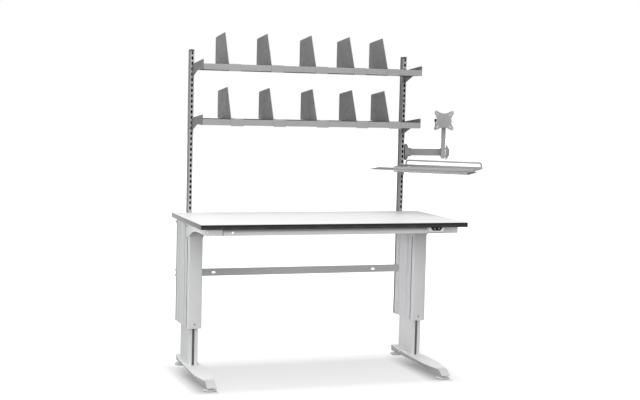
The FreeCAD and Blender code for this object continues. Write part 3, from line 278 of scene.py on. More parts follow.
# Levelling glides: a pale moulded floor disc with a rubber tread, a swivel cone and a black threaded stem.
# The stem screws into the foot, and a thin lock nut on it bears against the beam.
# Each is turned about its own upright axis.
def moulded_group():
    """The wear and grain of a moulded skin."""
    tree, given, made = finish_group(
        "Moulded skin",
        {"Colour": "Color", "Grain": "Float"},
        {"Colour": "Color", "Roughness": "Float", "Normal": "Vector"},
    )
    plain = given.outputs["Colour"]
    worn = mixed(tree, 0.10, plain, (0.6, 0.6, 0.6, 1))
    colour = mixed(tree, spread(tree, noise(tree, 18.0, 4.0), 0.0, 0.5, 0.45, 0.8), plain, worn)
    skin = bumps(tree, noise(tree, 900.0, 2.0), given.outputs["Grain"], 0.0003)
    tree.links.new(colour, made.inputs["Colour"])
    tree.links.new(spread(tree, noise(tree, 60.0, 3.0), 0.36, 0.52), made.inputs["Roughness"])
    tree.links.new(skin, made.inputs["Normal"])
    return tree


moulded_skin = moulded_group()


def moulded(name, colour, grain=0.2, metallic=0.0):
    """A moulded plastic or rubber, or a tumbled metal with its fine skin."""
    material = bpy.data.materials.new(name)
    material.use_nodes = True
    tree = material.node_tree
    skin = shader_node(tree, "ShaderNodeGroup", node_tree=moulded_skin)
    skin.inputs["Colour"].default_value = colour
    skin.inputs["Grain"].default_value = grain
    bsdf = tree.nodes["Principled BSDF"]
    bsdf.inputs["Metallic"].default_value = metallic
    for socket, target in (("Colour", "Base Color"), ("Roughness", "Roughness"), ("Normal", "Normal")):
        tree.links.new(skin.outputs[socket], bsdf.inputs[target])
    return material


def turned(bm, outline, centre, steps=40, material=0):
    """Spins an outline of (radius, height) about an upright axis through centre."""
    corners = [bm.verts.new((radius, 0, height)) for radius, height in outline]
    edges = [bm.edges.new(pair) for pair in zip(corners, corners[1:])]
    before = set(bm.faces)
    bmesh.ops.spin(
        bm, geom=corners + edges, cent=(0, 0, 0), axis=(0, 0, 1), angle=math.tau, steps=steps, use_merge=True
    )
    faces = [face for face in bm.faces if face not in before]
    verts = list({vert for face in faces for vert in face.verts})
    bmesh.ops.remove_doubles(bm, verts=verts, dist=0.00001)
    faces = [face for face in bm.faces if face not in before]
    bmesh.ops.recalc_face_normals(bm, faces=faces)
    for face in faces:
        face.material_index = material
    verts = list({vert for face in faces for vert in face.verts})
    bmesh.ops.translate(bm, vec=centre, verts=verts)
    return verts


zinc = moulded("Zinc-plated steel", (0.62, 0.63, 0.64, 1), 0.06, 0.85)
pale_plastic = moulded("Pale glossy plastic", grey(0.78), 0.04)
rubber = moulded("Black rubber", grey(0.014), 0.3)
black_plastic = moulded("Black moulded plastic", grey(0.006), 0.25)
black_plastic.node_tree.nodes["Principled BSDF"].inputs["Specular IOR Level"].default_value = 0.12
TREAD, TREAD_ROUND, CONE_TOP = 0.003, 0.001, 0.015
STEM_LOW, STEM_ROOT, STEM_CREST, STEM_PITCH, STEM_RINGS = 0.0145, 0.0048, 0.0059, 0.0029, 7
NUT_LOW, NUT_HIGH, NUT_BORE, NUT_RADIUS = 0.0183, 0.0199, 0.0072, 0.011
for side in ("left", "right"):
    for end in ("front", "rear"):
        name = f"{side}_{end}_glide"
        low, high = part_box(name)
        centre = Vector(((low.x + high.x) / 2, (low.y + high.y) / 2, 0))
        radius = (high.x - low.x) / 2
        bm = bmesh.new()
        rim = radius - TREAD_ROUND
        tread = [(0, 0), (rim - TREAD_ROUND, 0), (rim, TREAD_ROUND), (rim, TREAD), (0, TREAD)]
        disc = [(0, TREAD), (radius, TREAD), (radius, 0.0065), (radius - 0.0015, 0.008), (0.024, 0.0086),
                (0.016, 0.0115), (0.0115, CONE_TOP), (0, CONE_TOP)]
        thread = [(0, STEM_LOW - 0.0005)]
        for ring in range(STEM_RINGS):
            start = STEM_LOW + ring * STEM_PITCH
            thread += [(STEM_ROOT, start), (STEM_CREST, start + 0.0015)]
        thread += [(STEM_ROOT, high.z), (0, high.z)]
        turned(bm, tread, centre, material=1)
        turned(bm, disc, centre)
        turned(bm, thread, centre, steps=24, material=2)
        body = frame["nodes"][name]["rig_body"]
        piece(name + "_turned", bm, [pale_plastic, rubber, black_plastic], body, slot_of[name], name)
        nut = [(NUT_BORE, NUT_LOW), (NUT_RADIUS - 0.0005, NUT_LOW), (NUT_RADIUS, NUT_LOW + 0.0004),
               (NUT_RADIUS, NUT_HIGH), (NUT_BORE, NUT_HIGH), (NUT_BORE, NUT_LOW)]
        bm = bmesh.new()
        turned(bm, nut, centre, steps=6)
        piece(name + "_lock_nut", bm, [black_plastic], side + "_lower_leg", slot_of[name])


# Lifting columns: extruded aluminium C sections that stand on the feet, open in a slot down the front.
# They are powder-coated like the covers that slide over them, and a ribbed rubber strip closes the slot.
# A bronze nut is fixed near the top of each, where the spindle runs.
cover_grey = coated("Light grey coat on extrusion", grey(0.68, -0.010), 0.03, 0.05)
cover_grey_edge = coated("Light grey coat on extrusion, rubbed edge", grey(0.76, -0.005), 0.03, 0.0)
bronze = moulded("Cast bronze", (0.55, 0.40, 0.18, 1), 0.15, 0.9)


def recoated(node, material):
    """Gives a CAD piece that stays as it is its own finish."""
    mesh = frame["nodes"][node].data
    mesh.materials.clear()
    mesh.materials.append(material)


def drawn(bm, corners, reach):
    """A bar with flat ends: an outline, carried along reach."""
    face = bm.faces.new([bm.verts.new(corner) for corner in corners])
    raised = bmesh.ops.extrude_face_region(bm, geom=[face])
    verts = [item for item in raised["geom"] if isinstance(item, bmesh.types.BMVert)]
    bmesh.ops.translate(bm, vec=reach, verts=verts)
    bmesh.ops.recalc_face_normals(bm, faces=bm.faces)


strip_grey = moulded("Dark grey slot strip", grey(0.085), 0.3)
STRIP_HALF, STRIP_FACE, STRIP_BACK, STRIP_RIBS, STRIP_SHORT = 0.0068, 0.0018, 0.0034, 5, 0.001
for side in ("left", "right"):
    finished(side + "_column", cover_grey, 0.0006, cover_grey_edge)
    recoated(side + "_spindle_nut", bronze)
    low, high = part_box(side + "_column")
    rib = STRIP_HALF / STRIP_RIBS
    section = [(STRIP_HALF, STRIP_BACK), (-STRIP_HALF, STRIP_BACK)]
    for i in range(STRIP_RIBS):
        start = -STRIP_HALF + 2 * rib * i
        section += [(start, STRIP_FACE + rib / 2), (start + rib, STRIP_FACE)]
    section.append((STRIP_HALF, STRIP_FACE + rib / 2))
    bm = bmesh.new()
    x = (low.x + high.x) / 2
    corners = [(x + across, low.y + behind, low.z + STRIP_SHORT) for across, behind in section]
    drawn(bm, corners, (0, 0, high.z - low.z - 2 * STRIP_SHORT))
    piece(side + "_column_strip", bm, [strip_grey], side + "_lower_leg", "black_rubber")


# Spindles: bright steel lead screws that hang from the lift drives and turn in the bronze nuts.
# Their thread is rolled, four millimetres to the turn.
# They stay hidden inside the legs over the whole travel.
THREAD_PITCH, THREAD_DEPTH, SPINDLE_TIP, SPINDLE_NECK, UNTHREADED = 0.004, 0.0012, 0.004, 0.020, 0.030
for side in ("left", "right"):
    name = side + "_spindle"
    low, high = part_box(name)
    centre = Vector(((low.x + high.x) / 2, (low.y + high.y) / 2, 0))
    radius = (high.x - low.x) / 2
    root = radius - THREAD_DEPTH
    outline = [(0, low.z), (radius - 0.002, low.z), (radius - 0.001, low.z + 0.002)]
    for turn in range(int((high.z - low.z - UNTHREADED) / THREAD_PITCH)):
        start = low.z + SPINDLE_TIP + turn * THREAD_PITCH
        outline += [(root, start), (radius, start + 0.0009), (radius, start + 0.0021), (root, start + 0.003)]
    neck = high.z - SPINDLE_NECK
    outline += [(radius, neck), (radius, high.z - 0.001), (radius - 0.001, high.z), (0, high.z)]
    bm = bmesh.new()
    turned(bm, outline, centre, steps=20)
    piece(name + "_threaded", bm, [zinc], frame["nodes"][name]["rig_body"], slot_of[name], name)


# Lift drives, guide pads and sleeves: the drives' casings are dark moulded shells under the worktop.
# The pads are white sliding plastic, riveted in the sleeves, and bear on the columns.
# The sleeves are plain drawn tubes, seen only in the gaps between the covers, and their coat is paler than
# the covers' as painted light in those shaded gaps.
casing = moulded("Dark drive casing", grey(0.055), 0.35)
slide_white = moulded("White sliding plastic", (0.74, 0.74, 0.71, 1), 0.1)
# Painted light: the sleeves' coat is paler, to lift the shade in the gaps between the covers.
sleeve_coat_painted_light = coated("Sleeve coat", grey(0.80), 0.03, 0.0)
finished("lift_drives", casing, 0.003)
recoated("guide_pads", slide_white)
finished("sleeves", sleeve_coat_painted_light, 0.0006)


# Leg covers: extruded aluminium channels in front of and behind each sleeve, grooved down both sides.
# They are cut to length, coated and screwed on, and the faces of the front one's grooves are painted near
# black, a painted shade in the recess.
# A flat strip snaps in between the two on each side.
COVER_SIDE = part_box("front_covers")[1].x - TABLE_X - LEG_X
GROOVE_BOTTOM = COVER_SIDE - 0.004
# Painted shade: the faces of the front covers' grooves are given this near-black grey.
groove_painted_shade = moulded("Painted shade in the cover grooves", grey(0.05), 0.2)


def in_groove(face):
    """Tells the faces of the grooves in the covers' sides."""
    across = abs(abs(face.calc_center_median().x - TABLE_X) - LEG_X)
    faces_aside = abs(face.normal.x) > 0.9
    on_bottom = faces_aside and abs(across - GROOVE_BOTTOM) < 0.0004
    on_wall = abs(face.normal.y) > 0.9 and GROOVE_BOTTOM < across < COVER_SIDE
    return on_bottom or (on_wall and abs(across - (GROOVE_BOTTOM + COVER_SIDE) / 2) < 0.0004)


finished("front_covers", cover_grey, 0.0007, cover_grey_edge, groove_painted_shade, in_groove)
finished("rear_covers", cover_grey, 0.0007, cover_grey_edge)


def block(bm, size, place):
    """A box of a size about a place."""
    made = bmesh.ops.create_cube(bm, size=1.0)
    bmesh.ops.scale(bm, vec=size, verts=made["verts"])
    bmesh.ops.translate(bm, vec=place, verts=made["verts"])


INFILL_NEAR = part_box("sleeves")[1].x - TABLE_X - LEG_X + 0.0005
INFILL_FAR, INFILL_PLAY = COVER_SIDE - 0.0022, 0.0018
front_end, rear_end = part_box("front_covers")[1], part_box("rear_covers")[0]
size = (INFILL_FAR - INFILL_NEAR, rear_end.y - front_end.y - 2 * INFILL_PLAY, front_end.z - rear_end.z)
middle = (front_end + rear_end) / 2
bm = bmesh.new()
for centre in (TABLE_X - LEG_X, TABLE_X + LEG_X):
    for sign in (-1, 1):
        block(bm, size, (centre + sign * (INFILL_FAR + INFILL_NEAR) / 2, middle.y, middle.z))
ease(piece("cover_infill_strips", bm, [cover_grey], "table", "cover_paint"), 0.0006)


# Support arms and rails: folded steel channels under the worktop, powder-coated light grey.
# The arms sit over the leg tops and rise in a curve towards the front, and two rails join them.
# The front rail has a painted shadow along its top, under the board, and its end pieces meet it in two
# seams.
for side in ("left", "right"):
    finished(side + "_support_arm", frame_grey, 0.0008, frame_grey_edge)
rail_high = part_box("worktop_rails")[1]
SEAM_MIDDLE, SEAM_X, SEAM_HALF = TABLE_X - 0.0050, 0.6170, 0.0020
BOARD_SHADOW_LOW, BOARD_SHADOW_HIGH = rail_high.z - 0.022, rail_high.z - 0.008
rail_grey = coated("Light grey rail coat", grey(0.68, -0.004))
tree = rail_grey.node_tree
places = places_in(tree)
aside = maths(tree, "ABSOLUTE", maths(tree, "SUBTRACT", places["X"], SEAM_MIDDLE))
seam = maths(tree, "COMPARE", aside, SEAM_X, SEAM_HALF)
# Painted shadow: the top of the front rail darkens under the board's overhang, and the seam lines share its
# grey.
board_painted_shadow = spread(tree, places["Z"], 0.0, 0.85, BOARD_SHADOW_LOW, BOARD_SHADOW_HIGH)
overlaid(rail_grey, maths(tree, "MAXIMUM", board_painted_shadow, seam), grey(0.14))
finished("worktop_rails", rail_grey, 0.0008)


# Control box: a moulded dark case screwed under the worktop, with ribs across its lower face.
# Its mains inlet is a recess in the rear, where three pins stand.
RIB_SIZE, RIB_COUNT, RIB_PITCH, RIB_START, RIB_SINK = (0.006, 0.06, 0.003), 9, 0.020, 0.050, 0.0005
PIN_SIZE, PIN_PLACES = (0.002, 0.014, 0.004), ((0.007, 0.006), (0.021, 0.006), (0.014, 0.013))
INLET_LEFT, INLET_RISE, PIN_IN = TABLE_X + 0.070, 0.011, 0.011
finished("control_box", casing, 0.0015)
low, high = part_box("control_box")
bm = bmesh.new()
middle = (low + high) / 2
for rib in range(RIB_COUNT):
    block(bm, RIB_SIZE, (low.x + RIB_START + rib * RIB_PITCH, middle.y, low.z - RIB_SINK))
bmesh.ops.bevel(bm, geom=bm.edges[:], offset=0.0008, affect="EDGES", segments=2, profile=0.5, material=-1)
piece("control_box_ribs", bm, [casing], "table", "drive_casing")
bm = bmesh.new()
for x, z in PIN_PLACES:
    block(bm, PIN_SIZE, (INLET_LEFT + x, high.y - PIN_IN, low.z + INLET_RISE + z))
bmesh.ops.bevel(bm, geom=bm.edges[:], offset=0.0004, affect="EDGES", segments=2, profile=0.5, material=-1)
piece("mains_inlet_pins", bm, [zinc], "table", "bright_steel")


# Hand switch: a light grey housing under the front edge, with a black panel tapered downwards.
# Two black keys stand in it, each with a pale moulded arrow, one up and one down.
finished("hand_switch_housing", frame_grey, 0.0012, frame_grey_edge)
finished("switch_panel", black_plastic, 0.0005)
arrow_white = moulded("Pale arrow inlay", grey(0.62), 0.05)
ARROW_HALF, ARROW_FOOT, ARROW_TIP, ARROW_SINK, ARROW_DEPTH = 0.0045, -0.003, 0.0042, 0.0003, 0.0005
for word, turn in (("up", 1), ("down", -1)):
    node = word + "_button"
    finished(node, black_plastic, 0.0008)
    low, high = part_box(node)
    middle = (low + high) / 2
    bm = bmesh.new()
    tips = [(-ARROW_HALF, ARROW_FOOT * turn), (ARROW_HALF, ARROW_FOOT * turn), (0, ARROW_TIP * turn)]
    corners = [(middle.x + x, low.y + ARROW_SINK, middle.z + z) for x, z in tips]
    drawn(bm, corners, (0, -ARROW_DEPTH, 0))
    piece(word + "_arrow", bm, [arrow_white], node, "guide_plastic")


# Rear stretcher: a folded steel channel between the legs, with welded end flanges and two see-through slots.
# Its light grey coat is a little darker than the rest of the frame's.
stretcher_grey = coated("Grey powder coat on the stretcher", grey(0.54, -0.006), 0.04, 0.06)
finished("rear_stretcher", stretcher_grey, 0.0008, frame_grey_edge)


# Worktop: a chipboard under a pale laminate with a fine pearl grain, glued and pressed.
# A charcoal plastic band is welded round its edge and trimmed flush, a little darker in its upper half.
# Use leaves faint scuffs along the length of the top.
laminate = bpy.data.materials.new("Pale laminate")
laminate.use_nodes = True
tree = laminate.node_tree
bsdf = tree.nodes["Principled BSDF"]
stretched = shader_node(
    tree, "ShaderNodeMapping",
    {"Vector": tree.nodes.new("ShaderNodeTexCoord").outputs["Object"], "Scale": (1.5, 26.0, 1.0)},
).outputs["Vector"]
scuffs = spread(tree, noise(tree, 5.0, 5.0, stretched), 0.0, 0.35, 0.52, 0.72)
speckle = spread(tree, noise(tree, 260.0, 2.0), 0.0, 0.5, 0.40, 0.70)
plain = mixed(tree, speckle, (0.90, 0.895, 0.90, 1), (0.88, 0.875, 0.88, 1))
used = mixed(tree, scuffs, plain, (0.86, 0.855, 0.86, 1))
pearl = bumps(tree, noise(tree, 420.0, 3.0), 0.06, 0.0003)
tree.links.new(used, bsdf.inputs["Base Color"])
tree.links.new(spread(tree, noise(tree, 9.0, 3.0), 0.40, 0.52), bsdf.inputs["Roughness"])
tree.links.new(pearl, bsdf.inputs["Normal"])
finished("worktop_board", laminate, 0.0006)
charcoal = moulded("Charcoal edge band", grey(0.016), 0.05)
tree = charcoal.node_tree
bsdf = tree.nodes["Principled BSDF"]
band_low, band_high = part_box("worktop_edge_band")
half_way = (band_low.z + band_high.z) / 2
upper = spread(tree, places_in(tree)["Z"], 0.0, 1.0, half_way - 0.002, half_way + 0.002)
overlaid(charcoal, upper, grey(0.005))
tree.links.new(spread(tree, noise(tree, 60.0, 3.0), 0.14, 0.22), bsdf.inputs["Roughness"])
bsdf.inputs["IOR"].default_value = 1.34
finished("worktop_edge_band", charcoal, 0.0006)


# Uprights: rectangular steel tubes with a column of slots punched up the front, in a mid grey powder coat.
# A moulded cap is pushed into each open end, and the tube's inside is painted near black, a painted shade
# seen through the slots.
# A light grey channel on each leg's rear holds them, and a sheet covers their inner side there.
REAR_SHADE_WIDTH, TOP_DARK_BAND, SKIN = 0.024, 0.006, 0.0001
upright_grey = coated("Mid grey powder coat", grey(0.185, -0.008), 0.06, 0.10)
tree = upright_grey.node_tree
places = places_in(tree)
low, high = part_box("right_upright")
# Painted light: the front face is painted lighter than the sides.
overlaid(upright_grey, maths(tree, "LESS_THAN", places["Y"], low.y + SKIN), grey(0.42))
# Painted shade: a near-black band runs down the rear of each side, and another along the top.
rear_painted_shade = spread(tree, places["Y"], 0.0, 1.0, high.y - REAR_SHADE_WIDTH, high.y - REAR_SHADE_WIDTH * 0.7)
on_side = maths(tree, "LESS_THAN", places["Y"], high.y - SKIN)
top_band_mask = maths(tree, "GREATER_THAN", places["Z"], high.z - TOP_DARK_BAND)
overlaid(upright_grey, maths(tree, "MAXIMUM", top_band_mask, maths(tree, "MULTIPLY", rear_painted_shade, on_side)), grey(0.02))
# Painted shade: the uprights' eased edges and slot rims are near black.
upright_painted_dark_edge = coated("Mid grey powder coat, dark edge", grey(0.07, -0.008), 0.06, 0.0)
cap_grey = moulded("Dark moulded cap", grey(0.045), 0.25)
# Painted shade: the faces inside the tube are near black.
tube_inside_painted_shade = moulded("Painted shade inside the tube", grey(0.035), 0.3)
TUBE_WALL = 0.002
CAP_PLATE, CAP_CORNER, CAP_RIM, CAP_RISE, PLUG_INSET, PLUG_DEPTH = 0.003, 0.003, 0.002, 0.0008, 0.003, 0.014


def inside_tube(low, high):
    """A test for the faces behind a tube's outer skin, slot edges included."""
    middle = (low + high) / 2
    reach = (high - low) / 2 - Vector((TUBE_WALL, TUBE_WALL, 0)) / 2

    def is_inside(face):
        off = face.calc_center_median() - middle
        return abs(off.x) < reach.x and abs(off.y) < reach.y

    return is_inside


for side in ("left", "right"):
    node = side + "_upright"
    low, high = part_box(node)
    middle = (low + high) / 2
    finished(node, upright_grey, 0.0011, upright_painted_dark_edge, tube_inside_painted_shade, inside_tube(low, high))
    for end, z, out in (("top", high.z, 1), ("bottom", low.z, -1)):
        bm = bmesh.new()
        size = (high.x - low.x, high.y - low.y, CAP_PLATE)
        block(bm, size, (middle.x, middle.y, z + out * CAP_PLATE / 2))
        sides = [edge for edge in bm.edges if abs(edge.verts[0].co.z - edge.verts[1].co.z) > CAP_PLATE / 2]
        bmesh.ops.bevel(
            bm, geom=sides, offset=CAP_CORNER, affect="EDGES", segments=3, profile=0.5, material=-1
        )
        outer = [face for face in bm.faces if face.normal.z * out > 0.9]
        bmesh.ops.inset_region(bm, faces=outer, thickness=CAP_RIM)
        raised = list({vert for face in outer for vert in face.verts})
        bmesh.ops.translate(bm, vec=(0, 0, out * CAP_RISE), verts=raised)
        inner = [face for face in bm.faces if face.normal.z * out < -0.9]
        bmesh.ops.inset_region(bm, faces=inner, thickness=PLUG_INSET)
        pushed = bmesh.ops.extrude_face_region(bm, geom=inner)
        bmesh.ops.delete(bm, geom=inner, context="FACES_ONLY")
        verts = [item for item in pushed["geom"] if isinstance(item, bmesh.types.BMVert)]
        bmesh.ops.translate(bm, vec=(0, 0, -out * PLUG_DEPTH), verts=verts)
        ease(piece(f"{side}_upright_{end}_cap", bm, [cap_grey], "table", "upright_paint"), 0.0004)
mount_grey = coated("Light grey mount coat", grey(0.68, -0.010), 0.03, 0.05)
mount_low, mount_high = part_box("upright_mounts")
tree = mount_grey.node_tree
# Painted shade: a dark band runs down the mount's rear.
rear_shade_start, rear_shade_end = mount_high.y - REAR_SHADE_WIDTH, mount_high.y - REAR_SHADE_WIDTH * 0.8
overlaid(mount_grey, spread(tree, places_in(tree)["Y"], 0.0, 1.0, rear_shade_start, rear_shade_end), grey(0.20))
finished("upright_mounts", mount_grey, 0.0006)
SHEET_THICK, SHEET_REACH, SHEET_GAP, SHEET_PLAY = 0.0014, 0.031, 0.0003, 0.001
upright_low, upright_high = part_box("right_upright")
upright_in = upright_low.x - TABLE_X
size = (SHEET_THICK, SHEET_REACH, mount_high.z - mount_low.z)
sheet_x = upright_in - SHEET_GAP - SHEET_THICK / 2
sheet_y = mount_low.y + SHEET_PLAY + SHEET_REACH / 2
bm = bmesh.new()
for sign in (-1, 1):
    block(bm, size, (TABLE_X + sign * sheet_x, sheet_y, (mount_low.z + mount_high.z) / 2))
ease(piece("upright_cover_sheets", bm, [cover_grey], "table", "cover_paint"), 0.0003)


# Fasteners: dark plated button-head screws with a six-sided socket on the covers and support arms.
# Zinc-plated six-sided bolts run across through the mounts and uprights, each with a washer and a nut.
def button_screw(bm, centre, direction, radius, head):
    """A button head with its socket."""
    socket = radius * 0.5
    outline = [(0, head * 0.35), (socket, head * 0.35), (socket, head), (radius * 0.62, head),
               (radius * 0.85, head * 0.78), (radius, head * 0.3), (radius, 0), (0, 0)]
    verts = turned(bm, outline, (0, 0, 0), steps=24)
    for vert in verts:
        if abs(math.hypot(vert.co.x, vert.co.y) - socket) < radius * 0.01:
            angle = math.atan2(vert.co.y, vert.co.x) % (math.pi / 3) - math.pi / 6
            flat = math.cos(math.pi / 6) / math.cos(angle)
            vert.co.x *= flat
            vert.co.y *= flat
    turn = Vector((0, 0, 1)).rotation_difference(Vector(direction)).to_matrix().to_4x4()
    bmesh.ops.transform(bm, matrix=Matrix.Translation(centre) @ turn, verts=verts)


def round_bar(radius, near, far):
    """The outline of a plain bar or disc between two places on its axis."""
    return [(0, near), (radius, near), (radius, far), (0, far)]


screw_steel = moulded("Dark plated steel", grey(0.20), 0.06, 0.7)
SCREW_RADIUS, SCREW_HEAD, COVER_SCREW_RISE, ARM_SCREW_DROPS = 0.005, 0.0025, 0.024, (0.028, 0.093)
NUT_THICK, WASHER_THICK, HEAD_THICK, HEAD_RADIUS = 0.0058, 0.0017, 0.0083, 0.0072
BOLT_FROM_REAR, BOLT_DROPS = 0.012, (0.027, 0.304, 0.333)
cover_low, cover_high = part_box("front_covers")
arm_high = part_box("right_support_arm")[1]
cover_y = (cover_low.y + cover_high.y) / 2
arm_out, mount_out = arm_high.x - TABLE_X, mount_high.x - TABLE_X
nut_end = upright_in - NUT_THICK
head_start = mount_out + WASHER_THICK
head_end = head_start + HEAD_THICK
bolt_outlines = (
    (6, round_bar(0.0068, nut_end, upright_in)),
    (20, round_bar(0.004, nut_end - 0.0007, mount_out + 0.001)),
    (24, round_bar(0.0085, mount_out, head_start)),
    (6, [(0, head_start), (HEAD_RADIUS, head_start), (HEAD_RADIUS, head_end - 0.0012),
         (HEAD_RADIUS - 0.001, head_end), (0, head_end)]),
)
bm = bmesh.new()
for sign in (-1, 1):
    place = (TABLE_X + sign * LEG_X, cover_low.y, cover_low.z + COVER_SCREW_RISE)
    button_screw(bm, place, (0, -1, 0), SCREW_RADIUS, SCREW_HEAD)
    for drop in ARM_SCREW_DROPS:
        place = (TABLE_X + sign * arm_out, cover_y, arm_high.z - drop)
        button_screw(bm, place, (sign, 0, 0), SCREW_RADIUS, SCREW_HEAD)
    for drop in BOLT_DROPS:
        verts = []
        for steps, outline in bolt_outlines:
            verts += turned(bm, outline, (0, 0, 0), steps=steps, material=1)
        turn = Matrix.Rotation(sign * math.pi / 2, 4, "Y")
        place = (TABLE_X, upright_high.y - BOLT_FROM_REAR, mount_high.z - drop)
        bmesh.ops.transform(bm, matrix=Matrix.Translation(place) @ turn, verts=verts)
piece("frame_screws", bm, [screw_steel, zinc], "table", "bright_steel", "frame_fasteners")


# Shelves: steel sheets folded down at the front and rear, under a mid grey powder coat.
# Their flats are painted darker and duller than their lips, a painted shade on the level faces, and darker
# end brackets hook into the uprights' slots.
shelf_grey = coated("Mid grey shelf coat", grey(0.29, -0.008), 0.05, 0.12)
shelf_grey_edge = coated("Mid grey shelf coat, rubbed edge", grey(0.36, -0.008), 0.05, 0.0)
bracket_grey = coated("Mid grey bracket coat", grey(0.09, -0.010), 0.05, 0.06)
# Painted shade: the shelves' level faces get this dark grey, with no specular sheen.
shelf_flat_painted_shade = coated("Dull painted shade on the shelf's flat", grey(0.11, -0.008), 0.02, 0.0)
shelf_flat_painted_shade.node_tree.nodes["Principled BSDF"].inputs["Specular IOR Level"].default_value = 0.0


def is_flat(face):
    """Tells the level faces."""
    return abs(face.normal.z) > 0.9


for level in ("lower", "upper"):
    finished(level + "_shelf", shelf_grey, 0.0006, shelf_grey_edge, shelf_flat_painted_shade, is_flat)
    finished(level + "_shelf_brackets", bracket_grey, 0.0005, shelf_grey_edge)


# Dividers: bent steel plates that grip the shelf's front lip and slide along it.
# The sides of their plates are darker than the shelves' lips.
divider_grey = coated("Divider coat", grey(0.115, -0.010), 0.06, 0.06)


def on_foot(face):
    """Tells the faces of a divider that aren't the sides of its plate."""
    return abs(face.normal.x) < 0.9


for level in ("lower", "upper"):
    for row in range(1, 6):
        finished(f"{level}_divider_{row}", divider_grey, 0.0004, shelf_grey_edge, shelf_grey, on_foot)


# Screen arm: a flat-sided tube between two round hinge plates, with black friction pads.
# A square post stands at its far end, and a clamp with a tilting four-armed plate slides on that.
# The tubes and plates have the mid grey coat, and the clamp lever is black.
arm_grey = coated("Mid grey arm coat", grey(0.30, -0.008), 0.05, 0.10)
joint_of = {joint["name"]: joint for joint in frame["joints"]}
BRACKET_HINGE = Vector(joint_of["arm_swing"]["pos_m"])
POST_HINGE = Vector(joint_of["post_swing"]["pos_m"])
TILT_PLACE, TILT_AXIS = Vector(joint_of["screen_tilt"]["pos_m"]), Vector(joint_of["screen_tilt"]["axis"])
POST_TURN = math.atan2(TILT_AXIS.y, TILT_AXIS.x)
HINGE_RIM = 0.041
RIM_FLARE, BRACKET_DRAW, YOKE_DRAW = 1.22, 0.80, 0.70
BRACKET_BACK, BRACKET_FACE, BRACKET_MOUTH = -0.029, -0.020, -0.0165
YOKE_MOUTH, YOKE_MIDDLE, YOKE_BACK, YOKE_PLATE, YOKE_OUTSIDE = 0.016, 0.020, 0.024, 0.022, 0.033
PAD_SHIFT, PAD_GROWTH = YOKE_OUTSIDE - YOKE_PLATE, 1.25


def local_shape(hinge, angle, change):
    """A shaper that hands each corner to change, in the hinge's own turned frame."""
    turn = Matrix.Rotation(angle, 3, "Z")

    def shape(bm):
        for vert in bm.verts:
            spot = turn.inverted() @ (vert.co - hinge)
            vert.co = hinge + turn @ change(spot)

    return shape


def on_rim(spot):
    """Tells the corners on the rim of a hinge's round plate."""
    return abs(math.hypot(spot.y, spot.z) - HINGE_RIM) < 0.0008


def bracket_dish(spot):
    """Presses the bracket's round plate into a dish that opens towards the arm."""
    if on_rim(spot) and spot.x < BRACKET_BACK:
        return Vector((spot.x, spot.y * BRACKET_DRAW, spot.z * BRACKET_DRAW))
    if on_rim(spot) and spot.x < BRACKET_FACE:
        return Vector((BRACKET_MOUTH, spot.y * RIM_FLARE, spot.z * RIM_FLARE))
    return spot


def post_dish(spot):
    """Presses the yoke's round plate into a dish that closes towards its outside."""
    if on_rim(spot) and YOKE_MOUTH < spot.x < YOKE_MIDDLE:
        return Vector((spot.x, spot.y * RIM_FLARE, spot.z * RIM_FLARE))
    if on_rim(spot) and YOKE_MIDDLE < spot.x < YOKE_BACK:
        return Vector((YOKE_OUTSIDE, spot.y * YOKE_DRAW, spot.z * YOKE_DRAW))
    if abs(spot.x - YOKE_PLATE) < 0.0008 and math.hypot(spot.y, spot.z) < HINGE_RIM:
        return Vector((YOKE_OUTSIDE, spot.y, spot.z))
    return spot


def pad_out(spot):
    """Carries the outer pad along to the dish's narrow end."""
    return Vector((spot.x + PAD_SHIFT, spot.y * PAD_GROWTH, spot.z * PAD_GROWTH))


HEAD_RISE = TILT_PLACE.z - POST_HINGE.z
SLOT_NEAR, SLOT_FAR, SLOT_SIDE = 0.036, 0.067, 0.0062


def narrow_slots(spot):
    """Narrows the diagonal slots in the screen plate's arms."""
    across, rise = spot.x, spot.z - HEAD_RISE
    along = (abs(across) + abs(rise)) / math.sqrt(2)
    aside = (abs(across) - abs(rise)) / math.sqrt(2)
    if SLOT_NEAR < along < SLOT_FAR and abs(aside) < SLOT_SIDE:
        across = math.copysign((along + aside / 2) / math.sqrt(2), across)
        rise = math.copysign((along - aside / 2) / math.sqrt(2), rise)
    return Vector((across, spot.y, rise + HEAD_RISE))


for node, shape in (
    ("arm_bracket", local_shape(BRACKET_HINGE, 0.0, bracket_dish)),
    ("monitor_arm", None),
    ("monitor_post", local_shape(POST_HINGE, POST_TURN, post_dish)),
    ("head_clamp", None),
    ("vesa_plate", local_shape(POST_HINGE, POST_TURN, narrow_slots)),
):
    finished(node, arm_grey, 0.0006, shelf_grey_edge, shape=shape)
finished("arm_friction_pad", rubber, 0.0008)
finished("post_friction_pad", rubber, 0.0008, shape=local_shape(POST_HINGE, POST_TURN, pad_out))
finished("tilt_pin", zinc, 0.0006)
finished("clamp_lever", black_plastic, 0.0006)


# Keyboard tray: a folded sheet tray on a swinging support plate, and a mouse plate in its guides.
# A coated round wire, bent at both ends, stands over its rear edge.
plate_grey = coated("Dark grey plate coat", grey(0.13, -0.008), 0.05, 0.06)
tray_grey = coated("Mid grey tray coat", grey(0.30, -0.008), 0.05, 0.06)
wire_grey = coated("Grey coat on wire", grey(0.34, -0.008))
WIRE_COAT = 0.0011


def thicken_wire(bm):
    """Gives the wire its coat."""
    for vert in bm.verts:
        vert.co += vert.normal * WIRE_COAT


finished("tray_bracket", arm_grey, 0.0005, shelf_grey_edge)
finished("keyboard_tray", arm_grey, 0.0005, shelf_grey_edge)
finished("tray_support", tray_grey, 0.0005)
finished("mouse_plate", plate_grey, 0.0005, shelf_grey_edge)
finished("tray_rail", wire_grey, 0.0004, shape=thicken_wire)


